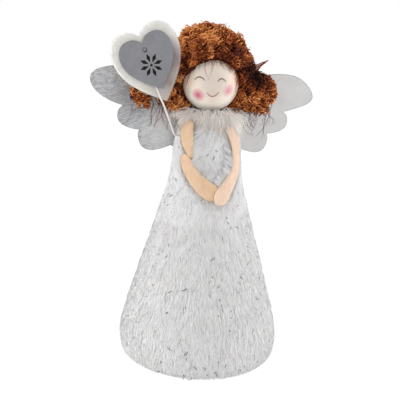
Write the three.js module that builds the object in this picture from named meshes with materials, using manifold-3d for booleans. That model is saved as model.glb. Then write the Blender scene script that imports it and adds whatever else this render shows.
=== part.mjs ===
// Angel tree topper, in millimetres, +Z up, its front towards -Y.
// The origin is on the axis of the cone, on the surface that the hem stands on.
import * as THREE from 'three';
import { mergeVertices } from 'three/addons/utils/BufferGeometryUtils.js';
import Module from 'manifold-3d';

const wasm = await Module();
wasm.setup();

// Fits shared by all pieces
const seatGap = 0.3;
const cutOverrun = 3;
const weldShare = 0.001;

// Card cone, rolled from one sheet with a glued lap at the back
const cardThickness = 1.2;
const coneBottomRadius = 54.5;
const coneTopRadius = 11.5;
const coneHeight = 166;
const cardLapWidth = 14;

// Fur fabric: its depth over the card at the hem, the waist, the chest and the neck
const hemFabric = 1.8;
const hemFootFur = 2;
const hemFur = 4.5;
const hemBulgeHeight = 9;
const hemTurnIn = 13;
const waistFur = 4.4;
const waistDrop = 38;
const chestFur = 8.7;
const chestDrop = 20;
const neckFur = 0.5;
const neckCap = 5.9;
const hemHandleShare = 0.21;
const waistHandleShare = 0.12;

// The bodice laps over the top edge of the skirt
const lapDrop = 32;
const lapDepth = 10;
const bodiceLapWall = 2.2;
const bodiceEdgeRise = 0.8;

// Head: a drilled wooden ball on a dowel, and the fur ring under it
const headRadius = 20;
const headClearance = 5;
const pegRadius = 4;
const pegInHead = 11;
const plugLength = 12;
const plugFloor = 2;
const boreEndRoom = 1;
const collarBulge = 1;
const collarTopInset = 1.5;
const collarRimDrop = 1.1;
const collarLowShare = 0.33;
const collarMiddleShare = 0.5;
const collarHighShare = 0.85;

// Arms: flat felt strips that lie on the fur, the right one over the left at the hands
const armWidth = 9.4;
const armThickness = 3.4;
const armEdgePower = 0.8;
const armEndShare = 0.09;
const armLiftStartShare = 0.55;
const armLiftEndShare = 0.82;
const arms = {
  arm_left: {
    topDrop: 4,
    drop: 48,
    degrees: [-49, -46, -43.5, -41, -33, -20, -3],
    dropShares: [0, 0.23, 0.46, 0.61, 0.78, 0.92, 1],
    over: 0,
  },
  arm_right: {
    topDrop: 5,
    drop: 52,
    degrees: [28, 33, 36, 34, 28.5, 14, -3],
    dropShares: [0, 0.22, 0.44, 0.56, 0.68, 0.87, 1],
    over: 1,
  },
};

// Wings: a stiff felt panel faced with silver cloth, three feathers a side
const wingCloth = 0.6;
const wingFelt = 1.8;
const wingSink = 3.4;
const wingOffset = 3;
const wingDrop = 9;
const wingSeatDrop = 20;
const wingReach = 86;
const wingNotchShare = 1.55;
const wingNotchRiseShare = 0.2;
const wingBendStartShare = 0.78;
const wingBendShares = { left: 0.015, right: -0.05 };
const wingBendEdgeShare = 0.4;
const featherShares = [
  { out: 0.605, up: 0.326, halfLength: 0.401, halfWidth: 0.174, lean: 7, power: 2 },
  { out: 0.471, up: 0.093, halfLength: 0.302, halfWidth: 0.126, lean: -1, power: 2.5 },
  { out: 0.424, up: -0.07, halfLength: 0.169, halfWidth: 0.124, lean: -16, power: 2.5 },
  { out: 0.14, up: 0, halfLength: 0.256, halfWidth: 0.186, lean: 0, power: 2.5 },
];

// Heart: thick felt with a thin wooden heart on its front, on a stiff wire
const feltHeartWidth = 46;
const feltHeartHeight = 50.5;
const feltThickness = 4;
const plateWidth = 36;
const plateHeight = 36;
const plateThickness = 3;
const plateRise = 9;
const feltNotchShare = 0.105;
const plateNotchShare = 0.145;
const heartShares = {
  notchHandle: [0.12, 0.975],
  lobeHandle: [0.3, 1],
  lobeTop: [0.48, 1],
  lobeOuter: [0.82, 1],
  flankUpper: [1, 0.86],
  flank: [1, 0.69],
  flankLower: [1, 0.42],
  pointHandle: [0.5, 0.2],
};
const starRadius = 7.8;
const starInnerRadius = 1.7;
const petalHalfWidth = 1.25;
const petalCount = 8;
const petalWidestShare = 0.55;
const starDotRadius = 1.1;
const starDepth = 1.4;
const starDrop = 14.4;
const holeRadius = 1.6;
const holeDrop = 3.9;
const heartPlaceShares = { out: 1.71, forward: 0.85, down: 0.68 };
const heartYaw = THREE.MathUtils.degToRad(-10);
const heartTilt = THREE.MathUtils.degToRad(-26);
const wireRadius = 0.75;
const wireInHeart = 14;
const wireInBodice = 5.5;
const wireFootDrop = 13;
const wireFootAngle = THREE.MathUtils.degToRad(-78);
const wireBow = 2.2;

// Hair: bundles of curled yarn, each a lumpy mass seated on the head, as shares of the head's radius
const hairFaceRoom = 1;
const hairFaceDrop = 5;
const hairFaceDepth = 1;
const hairLump = 1.3;
const hairTwistShare = 2;
const hairShares = {
  hair_crown: { out: -0.05, back: 0.2, up: 0.65, width: 1.65, depth: 1.25, height: 1.5, lumps: 9 },
  hair_left: { out: -1.85, back: 0.2, up: -0.2, width: 1, depth: 0.625, height: 1.05, lumps: 7 },
  hair_right: { out: 1.725, back: 0.15, up: -0.15, width: 0.85, depth: 0.75, height: 1.05, lumps: 7 },
  hair_back: { out: -0.05, back: 0.925, up: -0.05, width: 1.2, depth: 0.55, height: 1.2, lumps: 8 },
};

// Facets
const roundSegments = 48;
const profileSteps = 7;
const ballSteps = 18;
const outlineSteps = 32;
const curveFacets = 12;
const hairSteps = 28;
const armSteps = 24;
const armSides = 10;
const wireSteps = 26;
const wireCurveSteps = 4;

// Colours, roughness and metalness
const looks = {
  card: [0xb59b78, 0.9, 0],
  fur: [0xe9e9ea, 0.95, 0],
  collar: [0xd8cfc4, 0.95, 0],
  wood: [0xc9a97c, 0.8, 0],
  face: [0xe6d3c6, 0.55, 0],
  hair: [0x8a4a2d, 0.85, 0],
  felt: [0xe8e6df, 0.95, 0],
  skin: [0xecc7a4, 0.9, 0],
  silver: [0xb4b7bd, 0.4, 0.7],
  plate: [0x8f9094, 0.7, 0],
  wire: [0xeeece6, 0.8, 0],
};

const topper = new THREE.Group();

// Adds one named piece with its own material
function addPiece(name, geometry, look, parent = topper) {
  const [color, roughness, metalness] = looks[look];
  const material = new THREE.MeshStandardMaterial({ color, roughness, metalness });
  const mesh = new THREE.Mesh(geometry, material);
  mesh.name = name;
  parent.add(mesh);
  return mesh;
}

// Turns a closed geometry into a solid that can be joined and cut
function solid(geometry) {
  const bare = geometry.clone();
  bare.deleteAttribute('normal');
  bare.deleteAttribute('uv');
  const merged = mergeVertices(bare, seatGap * weldShare);
  const vertProperties = new Float32Array(merged.attributes.position.array);
  const triVerts = new Uint32Array(merged.index.array);
  return new wasm.Manifold(new wasm.Mesh({ numProp: 3, vertProperties, triVerts }));
}

// Turns a solid back into a geometry
function geometryOf(body) {
  const mesh = body.getMesh();
  const geometry = new THREE.BufferGeometry();
  geometry.setAttribute('position', new THREE.BufferAttribute(mesh.vertProperties, 3));
  geometry.setIndex(new THREE.BufferAttribute(mesh.triVerts, 1));
  geometry.computeVertexNormals();
  return geometry;
}

// Revolves a profile of [radius, height] pairs about the Z axis; the profile runs upwards on the outside
function revolve(profile, segments = roundSegments) {
  const points = profile.map(([radius, height]) => new THREE.Vector2(radius, height));
  return new THREE.LatheGeometry(points, segments).rotateX(Math.PI / 2);
}

// Extrudes a shape drawn in X and Z, from y = front towards the back
function panel(shape, front, thickness) {
  const settings = { depth: thickness, bevelEnabled: false, curveSegments: curveFacets };
  return new THREE.ExtrudeGeometry(shape, settings).rotateX(Math.PI / 2).translate(0, front + thickness, 0);
}

// A box between two corners
function block(low, high) {
  const size = new THREE.Vector3(...high).sub(new THREE.Vector3(...low));
  const middle = new THREE.Vector3(...low).addScaledVector(size, 1 / 2);
  return new THREE.BoxGeometry(size.x, size.y, size.z).translate(middle.x, middle.y, middle.z);
}

// Card cone
const coneBase = hemFabric + seatGap;
const coneTop = coneBase + coneHeight;
const coneOuter = (height) =>
  THREE.MathUtils.mapLinear(height, coneBase, coneTop, coneBottomRadius, coneTopRadius);
const coneInner = (height) => coneOuter(height) - cardThickness;
const hemTurnTop = coneBase + hemTurnIn;

// Heights and radii of the fur, which follow the cone
const bodyTopHeight = coneTop + neckCap;
const chestHeight = bodyTopHeight - chestDrop;
const waistHeight = bodyTopHeight - waistDrop;
const lapHeight = waistHeight - lapDrop;
const lapTopHeight = lapHeight + lapDepth;
const hemFootRadius = coneBottomRadius + hemFootFur;
const hemRadius = coneBottomRadius + hemFur;
const waistRadius = coneOuter(waistHeight) + waistFur;
const chestRadius = coneOuter(chestHeight) + chestFur;
const neckRadius = coneTopRadius + neckFur;
const headHeight = bodyTopHeight + headClearance + headRadius;
const wingHeight = bodyTopHeight - wingDrop;
const wingFront = chestRadius - wingSink;
const farSide = coneHeight * 2;

function makeCardCone() {
  const sheet = revolve([
    [coneInner(coneBase), coneBase],
    [coneOuter(coneBase), coneBase],
    [coneOuter(coneTop), coneTop],
    [coneInner(coneTop), coneTop],
    [coneInner(coneBase), coneBase],
  ]);
  const lapLow = hemTurnTop + seatGap;
  const lapTop = coneTop - plugLength - seatGap;
  const lapLayer = revolve([
    [coneInner(lapLow) - cardThickness, lapLow],
    [coneInner(lapLow) + cardThickness / 2, lapLow],
    [coneInner(lapTop) + cardThickness / 2, lapTop],
    [coneInner(lapTop) - cardThickness, lapTop],
    [coneInner(lapLow) - cardThickness, lapLow],
  ]);
  const strip = block(
    [-cardLapWidth / 2, 0, -cutOverrun],
    [cardLapWidth / 2, coneBottomRadius + cutOverrun, coneTop],
  );
  return geometryOf(solid(sheet).add(solid(lapLayer).intersect(solid(strip))));
}

// The outside of the fur, from the hem to the neck, as a curve of radius against height
function furCurve() {
  const bellHeight = waistHeight - hemBulgeHeight;
  const path = new THREE.Path();
  path.moveTo(hemFootRadius, 0);
  path.quadraticCurveTo(hemRadius, 0, hemRadius, hemBulgeHeight);
  path.bezierCurveTo(
    hemRadius, hemBulgeHeight + bellHeight * hemHandleShare,
    waistRadius, waistHeight - bellHeight * waistHandleShare,
    waistRadius, waistHeight,
  );
  path.quadraticCurveTo(waistRadius, (waistHeight + chestHeight) / 2, chestRadius, chestHeight);
  path.bezierCurveTo(
    chestRadius, (chestHeight + bodyTopHeight) / 2,
    (chestRadius + neckRadius) / 2, bodyTopHeight,
    neckRadius, bodyTopHeight,
  );
  return path.getPoints(profileSteps).map((point) => [point.x, point.y]);
}

const furOutline = furCurve();

// The radius of the fur at a height
function furRadius(height) {
  const above = furOutline.findIndex(([, z]) => z >= height);
  if (above <= 0) return above === 0 ? furOutline[0][0] : neckRadius;
  const [lowRadius, lowHeight] = furOutline[above - 1];
  const [highRadius, highHeight] = furOutline[above];
  return THREE.MathUtils.mapLinear(height, lowHeight, highHeight, lowRadius, highRadius);
}

// The skirt: one piece of fur that lies on the card and turns in under its edge
const skirtLapRadius = (height) => furRadius(height) - bodiceLapWall - seatGap;

function makeSkirt() {
  const outside = furOutline.filter(([, height]) => height < lapHeight);
  const insideRadius = (height) => coneInner(height) - seatGap;
  return revolve([
    ...outside,
    [furRadius(lapHeight), lapHeight],
    [skirtLapRadius(lapHeight), lapHeight],
    [skirtLapRadius(lapTopHeight), lapTopHeight],
    [coneOuter(lapTopHeight) + seatGap, lapTopHeight],
    [coneOuter(hemFabric) + seatGap, hemFabric],
    [insideRadius(hemFabric), hemFabric],
    [insideRadius(hemTurnTop), hemTurnTop],
    [insideRadius(hemTurnTop) - hemFabric, hemTurnTop],
    [insideRadius(hemFabric) - hemFabric, hemFabric],
    [insideRadius(0) - hemFabric / 2, 0],
    [hemFootRadius, 0],
  ]);
}

// The bodice: a second piece of fur, closed over the cone's top, flat at the back where the wings are glued
function makeBodice(wireWay) {
  const above = furOutline.filter(([, height]) => height > lapTopHeight);
  const capHeight = coneTop + seatGap;
  const shell = solid(revolve([
    [skirtLapRadius(lapHeight) + seatGap, lapHeight + seatGap],
    [furRadius(lapHeight) + bodiceEdgeRise, lapHeight + seatGap],
    [furRadius(lapTopHeight) + bodiceEdgeRise / 2, lapTopHeight],
    ...above,
    [pegRadius + seatGap, bodyTopHeight],
    [pegRadius + seatGap, capHeight],
    [coneOuter(coneTop) + seatGap, capHeight],
    [coneOuter(lapTopHeight) + seatGap, lapTopHeight + seatGap],
    [skirtLapRadius(lapTopHeight) + seatGap, lapTopHeight + seatGap],
    [skirtLapRadius(lapHeight) + seatGap, lapHeight + seatGap],
  ]));
  const wingSeat = block(
    [-hemRadius, wingFront - seatGap, wingHeight - wingSeatDrop],
    [hemRadius, hemRadius, bodyTopHeight + cutOverrun],
  );
  return geometryOf(shell.subtract(solid(wingSeat)).subtract(solid(wireWay)));
}

// Head, its dowel and the plug that holds the dowel in the cone
const pegLow = coneTop - plugLength + plugFloor + boreEndRoom;
const pegHigh = headHeight - headRadius + pegInHead;

function makeHead() {
  const boreRadius = pegRadius + seatGap;
  const boreTop = pegHigh + boreEndRoom;
  const boreEdge = Math.acos(boreRadius / headRadius);
  const arc = [];
  for (let step = 0; step <= ballSteps; step += 1) {
    const angle = THREE.MathUtils.lerp(-boreEdge, Math.PI / 2, step / ballSteps);
    arc.push([headRadius * Math.cos(angle), headHeight + headRadius * Math.sin(angle)]);
  }
  arc[arc.length - 1][0] = 0;
  return revolve([[0, boreTop], [boreRadius, boreTop], ...arc], ballSteps * 2);
}

function makePlug() {
  const low = coneTop - plugLength;
  const floor = pegLow - boreEndRoom;
  return revolve([
    [0, low],
    [coneInner(low) - seatGap, low],
    [coneInner(coneTop) - seatGap, coneTop],
    [pegRadius + seatGap, coneTop],
    [pegRadius + seatGap, floor],
    [0, floor],
  ], roundSegments / 2);
}

function makePeg() {
  return revolve([[0, pegLow], [pegRadius, pegLow], [pegRadius, pegHigh], [0, pegHigh]], roundSegments / 2);
}

// The fur ring under the ball; its top is a cup for the ball
const collarRadius = neckRadius + collarBulge;

function makeCollar() {
  const low = bodyTopHeight + seatGap;
  const cup = headRadius + seatGap;
  const innerRadius = pegRadius + seatGap;
  const topRadius = neckRadius - collarTopInset;
  const cupHeight = (radius) => headHeight - Math.sqrt(cup * cup - radius * radius);
  const cupEdge = (topRadius + innerRadius) / 2;
  const tall = cupHeight(topRadius) - collarRimDrop - low;
  return revolve([
    [innerRadius, low],
    [neckRadius, low],
    [collarRadius, low + tall * collarLowShare],
    [collarRadius, low + tall * collarMiddleShare],
    [(collarRadius + topRadius) / 2, low + tall * collarHighShare],
    [topRadius, low + tall],
    [cupEdge, cupHeight(cupEdge)],
    [innerRadius, cupHeight(innerRadius)],
    [innerRadius, low],
  ], roundSegments / 2);
}

// A power that keeps the sign, for rounded outlines
const signedPower = (value, power) => Math.sign(value) * Math.abs(value) ** power;

// Joins rings of points into one closed skin, with a fan at each end
function skin(rings) {
  const sides = rings[0].length;
  const positions = rings.flat().flatMap((point) => [point.x, point.y, point.z]);
  const index = [];
  for (let ring = 0; ring + 1 < rings.length; ring += 1) {
    for (let side = 0; side < sides; side += 1) {
      const next = (side + 1) % sides;
      const a = ring * sides + side;
      const b = ring * sides + next;
      index.push(a, a + sides, b, b, a + sides, b + sides);
    }
  }
  for (let side = 1; side + 1 < sides; side += 1) {
    const last = (rings.length - 1) * sides;
    index.push(0, side, side + 1, last, last + side + 1, last + side);
  }
  const geometry = new THREE.BufferGeometry();
  geometry.setAttribute('position', new THREE.Float32BufferAttribute(positions, 3));
  geometry.setIndex(index);
  return geometry;
}

// An arm: a flat rounded strip carried down the fur from the shoulder to the crossed hands
function makeArm({ topDrop, drop, degrees, dropShares, over }) {
  const route = new THREE.SplineCurve(degrees.map((angle, step) =>
    new THREE.Vector2(THREE.MathUtils.degToRad(angle), bodyTopHeight - topDrop - drop * dropShares[step])));
  const centre = (share) => {
    const place = route.getPoint(THREE.MathUtils.clamp(share, 0, 1));
    const rise = THREE.MathUtils.smoothstep(share, armLiftStartShare, armLiftEndShare);
    const lift = over * (armThickness + seatGap) * rise;
    const radius = furRadius(place.y) + seatGap * 2 + armThickness / 2 + lift;
    return new THREE.Vector3(radius * Math.sin(place.x), -radius * Math.cos(place.x), place.y);
  };
  const rings = [];
  for (let step = 0; step <= armSteps; step += 1) {
    const share = (1 - Math.cos((step / armSteps) * Math.PI)) / 2;
    const delta = 1 / (armSteps * armSteps);
    const along = centre(share + delta).sub(centre(share - delta)).normalize();
    const middle = centre(share);
    const outward = new THREE.Vector3(middle.x, middle.y, 0).normalize();
    outward.addScaledVector(along, -outward.dot(along)).normalize();
    const across = new THREE.Vector3().crossVectors(along, outward);
    const fromEnd = Math.min(share, 1 - share, armEndShare) / armEndShare;
    const taper = Math.max(Math.sqrt(1 - (1 - fromEnd) ** 2), 1 / armSteps);
    const ring = [];
    for (let turn = 0; turn < armSides; turn += 1) {
      const angle = (turn / armSides) * Math.PI * 2;
      const wide = signedPower(Math.cos(angle), armEdgePower) * taper * armWidth / 2;
      const thick = Math.sin(angle) * Math.sqrt(taper) * armThickness / 2;
      ring.push(middle.clone().addScaledVector(across, wide).addScaledVector(outward, thick));
    }
    rings.push(ring);
  }
  return skin(rings);
}

// Wings: each feather is a rounded ellipse, and a round notch clears the neck and the hair.
// The tips bend a little, up on the left and down on the right, more at the upper edge than at the lower.
function featherShape({ out, up, halfLength, halfWidth, lean, power }, side) {
  const turn = THREE.MathUtils.degToRad(lean);
  const points = [];
  for (let step = 0; step < outlineSteps; step += 1) {
    const angle = (step / outlineSteps) * Math.PI * 2;
    const u = signedPower(Math.cos(angle), 2 / power) * halfLength;
    const v = signedPower(Math.sin(angle), 2 / power) * halfWidth;
    const outShare = out + u * Math.cos(turn) - v * Math.sin(turn);
    const upShare = up + u * Math.sin(turn) + v * Math.cos(turn);
    const past = Math.max(0, outShare - wingBendStartShare) / (1 - wingBendStartShare);
    const bend = (side < 0 ? wingBendShares.left : wingBendShares.right) * past * past;
    const z = wingReach * (upShare + bend * (1 + (wingBendEdgeShare * v) / halfWidth));
    points.push(new THREE.Vector2(wingOffset + side * wingReach * outShare, wingHeight + z));
  }
  return new THREE.Shape(points);
}

function wingSheet(front, thickness) {
  let sheet = null;
  for (const side of [-1, 1]) {
    for (const feather of featherShares) {
      const lobe = solid(panel(featherShape(feather, side), front, thickness));
      sheet = sheet ? sheet.add(lobe) : lobe;
    }
  }
  const notchRadius = headRadius * wingNotchShare;
  const notch = new THREE.CylinderGeometry(
    notchRadius, notchRadius, thickness + cutOverrun * 2, outlineSteps,
  ).translate(0, front + thickness / 2, headHeight + headRadius * wingNotchRiseShare);
  return sheet.subtract(solid(notch));
}

function wingHalf(side) {
  const half = block(
    [side < 0 ? -farSide : wingOffset + seatGap / 2, 0, 0],
    [side < 0 ? wingOffset - seatGap / 2 : farSide, wingFront * 2, farSide],
  );
  return geometryOf(wingSheet(wingFront, wingCloth).intersect(solid(half)));
}

function makeWingBacking() {
  return geometryOf(wingSheet(wingFront + wingCloth + seatGap, wingFelt));
}

// Heart, drawn with its point at the origin and its notch up
function heartShape(width, height, rise, notchShare) {
  const at = (side, [across, along]) => [side * across * width / 2, rise + along * height];
  const { notchHandle, lobeHandle, lobeTop, lobeOuter } = heartShares;
  const { flankUpper, flank, flankLower, pointHandle } = heartShares;
  const notch = [0, 1 - notchShare];
  const point = [0, 0];
  const shape = new THREE.Shape();
  shape.moveTo(...at(0, notch));
  shape.bezierCurveTo(...at(-1, notchHandle), ...at(-1, lobeHandle), ...at(-1, lobeTop));
  shape.bezierCurveTo(...at(-1, lobeOuter), ...at(-1, flankUpper), ...at(-1, flank));
  shape.bezierCurveTo(...at(-1, flankLower), ...at(-1, pointHandle), ...at(0, point));
  shape.bezierCurveTo(...at(1, pointHandle), ...at(1, flankLower), ...at(1, flank));
  shape.bezierCurveTo(...at(1, flankUpper), ...at(1, lobeOuter), ...at(1, lobeTop));
  shape.bezierCurveTo(...at(1, lobeHandle), ...at(1, notchHandle), ...at(0, notch));
  return shape;
}

const heartGroup = new THREE.Group();
heartGroup.position.set(
  -headRadius * heartPlaceShares.out,
  -headRadius * heartPlaceShares.forward,
  headHeight - headRadius * heartPlaceShares.down,
);
heartGroup.rotation.set(0, heartTilt, heartYaw, 'ZYX');
heartGroup.updateMatrixWorld();
topper.add(heartGroup);

// The wire lies in a channel of the felt, bows down to the shoulder and ends inside the bodice
function wireRoute() {
  const inHeart = (height) =>
    new THREE.Vector3(0, wireRadius, height).applyMatrix4(heartGroup.matrixWorld);
  const footHeight = bodyTopHeight - wireFootDrop;
  const footRadius = furRadius(footHeight);
  const foot = (depth) => new THREE.Vector3(
    (footRadius - depth) * Math.sin(wireFootAngle),
    -(footRadius - depth) * Math.cos(wireFootAngle),
    footHeight - depth,
  );
  const leave = inHeart(0);
  const middle = leave.clone().add(foot(0)).multiplyScalar(1 / 2);
  middle.x += wireBow;
  return new THREE.CatmullRomCurve3([
    inHeart(wireInHeart), inHeart(wireInHeart / 2), leave, middle, foot(0), foot(wireInBodice),
  ], false, 'centripetal');
}

function tube(route, radius, steps) {
  const section = new THREE.Shape();
  section.absarc(0, 0, radius, 0, Math.PI * 2);
  return new THREE.ExtrudeGeometry(section, {
    extrudePath: route, steps, curveSegments: wireCurveSteps, bevelEnabled: false,
  });
}

function makeFeltHeart(wireWay) {
  const inverse = heartGroup.matrixWorld.clone().invert();
  const body = solid(panel(heartShape(feltHeartWidth, feltHeartHeight, 0, feltNotchShare), 0, feltThickness));
  return geometryOf(body.subtract(solid(wireWay.clone().applyMatrix4(inverse))));
}

// The wooden heart has a hanging hole and an eight-petalled star cut into its front
function makePlate() {
  const front = -seatGap - plateThickness;
  const notchHeight = plateRise + plateHeight * (1 - plateNotchShare);
  const starHeight = notchHeight - starDrop;
  const outline = heartShape(plateWidth, plateHeight, plateRise, plateNotchShare);
  let body = solid(panel(outline, front, plateThickness));
  const widest = THREE.MathUtils.lerp(starInnerRadius, starRadius, petalWidestShare);
  const petalCorners = [
    [starInnerRadius, 0], [widest, petalHalfWidth], [starRadius, 0], [widest, -petalHalfWidth],
  ];
  const dotCorners = [[starDotRadius, 0], [0, starDotRadius], [-starDotRadius, 0], [0, -starDotRadius]];
  const carve = (corners, turn) => {
    const points = corners.map(([x, z]) => new THREE.Vector2(x, z).rotateAround(new THREE.Vector2(), turn));
    const cut = panel(new THREE.Shape(points), front - cutOverrun, cutOverrun + starDepth);
    body = body.subtract(solid(cut.translate(0, 0, starHeight)));
  };
  for (let petal = 0; petal < petalCount; petal += 1) carve(petalCorners, (petal / petalCount) * Math.PI * 2);
  carve(dotCorners, 0);
  const drill = new THREE.CylinderGeometry(holeRadius, holeRadius, plateThickness * 3, outlineSteps / 2)
    .translate(0, 0, notchHeight - holeDrop);
  return geometryOf(body.subtract(solid(drill)));
}

// Hair: an ellipsoid whose surface rises and falls in rows of curls
function hairMass({ out, back, up, width, depth, height, lumps }, grow) {
  const geometry = new THREE.SphereGeometry(1, hairSteps, hairSteps / 2);
  const position = geometry.attributes.position;
  const point = new THREE.Vector3();
  for (let vertex = 0; vertex < position.count; vertex += 1) {
    point.fromBufferAttribute(position, vertex);
    const wave = Math.sin(lumps * point.x + hairTwistShare * point.z) * Math.sin(lumps * point.y - point.x)
      * Math.cos(lumps * point.z + point.y);
    const rise = hairLump * wave + grow;
    point.multiply(new THREE.Vector3(width, depth, height).multiplyScalar(headRadius).addScalar(rise));
    point.add(new THREE.Vector3(out, back, up).multiplyScalar(headRadius));
    position.setXYZ(vertex, point.x, point.y, point.z + headHeight);
  }
  return solid(geometry);
}

function makeHair() {
  const ball = solid(new THREE.SphereGeometry(headRadius + seatGap, outlineSteps, outlineSteps / 2)
    .rotateX(Math.PI / 2).translate(0, 0, headHeight));
  const faceRadius = headRadius + hairFaceRoom;
  const faceWay = solid(new THREE.CylinderGeometry(faceRadius, faceRadius, hemRadius, outlineSteps)
    .translate(0, -hairFaceDepth - hemRadius / 2, headHeight - hairFaceDrop));
  const neck = collarRadius + seatGap;
  const neckWay = solid(new THREE.CylinderGeometry(neck, neck, headRadius * 2, outlineSteps)
    .rotateX(Math.PI / 2).translate(0, 0, headHeight - headRadius));
  const wingWay = wingSheet(wingFront - seatGap, wingCloth + wingFelt + seatGap * 3);
  const pieces = {};
  const placed = [];
  for (const [name, mass] of Object.entries(hairShares)) {
    let body = hairMass(mass, 0).subtract(ball).subtract(faceWay).subtract(neckWay);
    for (const earlier of placed) body = body.subtract(hairMass(earlier, seatGap * 2));
    if (mass.back < mass.depth) body = body.subtract(wingWay);
    placed.push(mass);
    pieces[name] = geometryOf(body);
  }
  return pieces;
}

// Assembly
const wire = wireRoute();
const wireWay = tube(wire, wireRadius + seatGap, wireSteps);

addPiece('card_cone', makeCardCone(), 'card');
addPiece('neck_plug', makePlug(), 'wood');
addPiece('neck_peg', makePeg(), 'wood');
addPiece('fur_skirt', makeSkirt(), 'fur');
addPiece('fur_bodice', makeBodice(wireWay), 'fur');
addPiece('fur_collar', makeCollar(), 'collar');
addPiece('head_ball', makeHead(), 'face');
for (const [name, arm] of Object.entries(arms)) addPiece(name, makeArm(arm), 'skin');
addPiece('wing_cover_left', wingHalf(-1), 'silver');
addPiece('wing_cover_right', wingHalf(1), 'silver');
addPiece('wing_backing', makeWingBacking(), 'felt');
addPiece('heart_wire', tube(wire, wireRadius, wireSteps), 'wire');
addPiece('heart_felt', makeFeltHeart(wireWay), 'felt', heartGroup);
addPiece('heart_plate', makePlate(), 'plate', heartGroup);
for (const [name, geometry] of Object.entries(makeHair())) addPiece(name, geometry, 'hair');

export default topper;
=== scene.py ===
import math

import bmesh
import bpy
import numpy as np
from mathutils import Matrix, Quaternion, Vector


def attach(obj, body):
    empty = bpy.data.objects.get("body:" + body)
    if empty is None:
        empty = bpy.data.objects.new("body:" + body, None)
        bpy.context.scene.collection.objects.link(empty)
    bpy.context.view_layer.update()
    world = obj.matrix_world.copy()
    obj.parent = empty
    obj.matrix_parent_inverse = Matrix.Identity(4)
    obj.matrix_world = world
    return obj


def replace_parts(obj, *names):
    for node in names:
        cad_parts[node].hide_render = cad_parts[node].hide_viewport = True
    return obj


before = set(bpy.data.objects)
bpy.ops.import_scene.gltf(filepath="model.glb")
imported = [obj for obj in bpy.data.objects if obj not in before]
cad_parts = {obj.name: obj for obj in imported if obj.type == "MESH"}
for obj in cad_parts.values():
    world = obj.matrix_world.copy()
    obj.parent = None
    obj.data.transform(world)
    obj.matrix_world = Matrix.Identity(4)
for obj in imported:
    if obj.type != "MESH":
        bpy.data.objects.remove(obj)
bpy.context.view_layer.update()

mm = 0.001
root = "root"
fullTurn = 2 * np.pi


# camera

cameraSetup = {"place": (-103.5, -386.4, 198.2), "aim": (-3.24, 0.0, 113.62), "lens": 49.49, "roll": 3.04}


def addObject(name, data):
    made = bpy.data.objects.new(name, data)
    bpy.context.scene.collection.objects.link(made)
    return made


def lookFrom(thing, place, aim, roll=0.0):
    # its own -Z points from place to aim, and it is rolled about that line
    turn = Quaternion((0, 0, 1), math.radians(roll))
    thing.location, thing.rotation_mode = place, "QUATERNION"
    thing.rotation_quaternion = (Vector(aim) - Vector(place)).to_track_quat("-Z", "Y") @ turn


def makeCamera():
    data = bpy.data.cameras.new("photoCamera")
    data.lens, data.sensor_width = cameraSetup["lens"], 36
    data.clip_start, data.clip_end = 0.01, 20
    camera = addObject("photoCamera", data)
    place, aim = (Vector(cameraSetup[key]) * mm for key in ("place", "aim"))
    lookFrom(camera, place, aim, cameraSetup["roll"])
    bpy.context.scene.camera = camera


makeCamera()


# finishes

def tint(red, green, blue):
    # a colour written as it is seen, 0 to 255, as the linear colour that a shader takes
    seen = np.array([red, green, blue]) / 255
    linear = np.where(seen <= 0.04045, seen / 12.92, ((seen + 0.055) / 1.055) ** 2.4)
    return (*[float(part) for part in linear], 1.0)


def sign(operation, swapped=False):
    # what a sign does: a Math node of both values, swapped where the Value is at the sign's right
    def join(value, other):
        first, second = (other, value) if swapped else (value, other)
        return value.finish.node("Math", {"operation": operation}, {0: first, 1: second})
    return join


class Value:
    # a socket that can be used in sums: each sign adds a Math node
    __add__, __radd__ = sign("ADD"), sign("ADD", True)
    __sub__, __rsub__ = sign("SUBTRACT"), sign("SUBTRACT", True)
    __mul__, __rmul__ = sign("MULTIPLY"), sign("MULTIPLY", True)
    __truediv__, __pow__, high = sign("DIVIDE"), sign("POWER"), sign("MAXIMUM")

    def __init__(self, finish, socket):
        self.finish, self.socket = finish, socket


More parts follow.
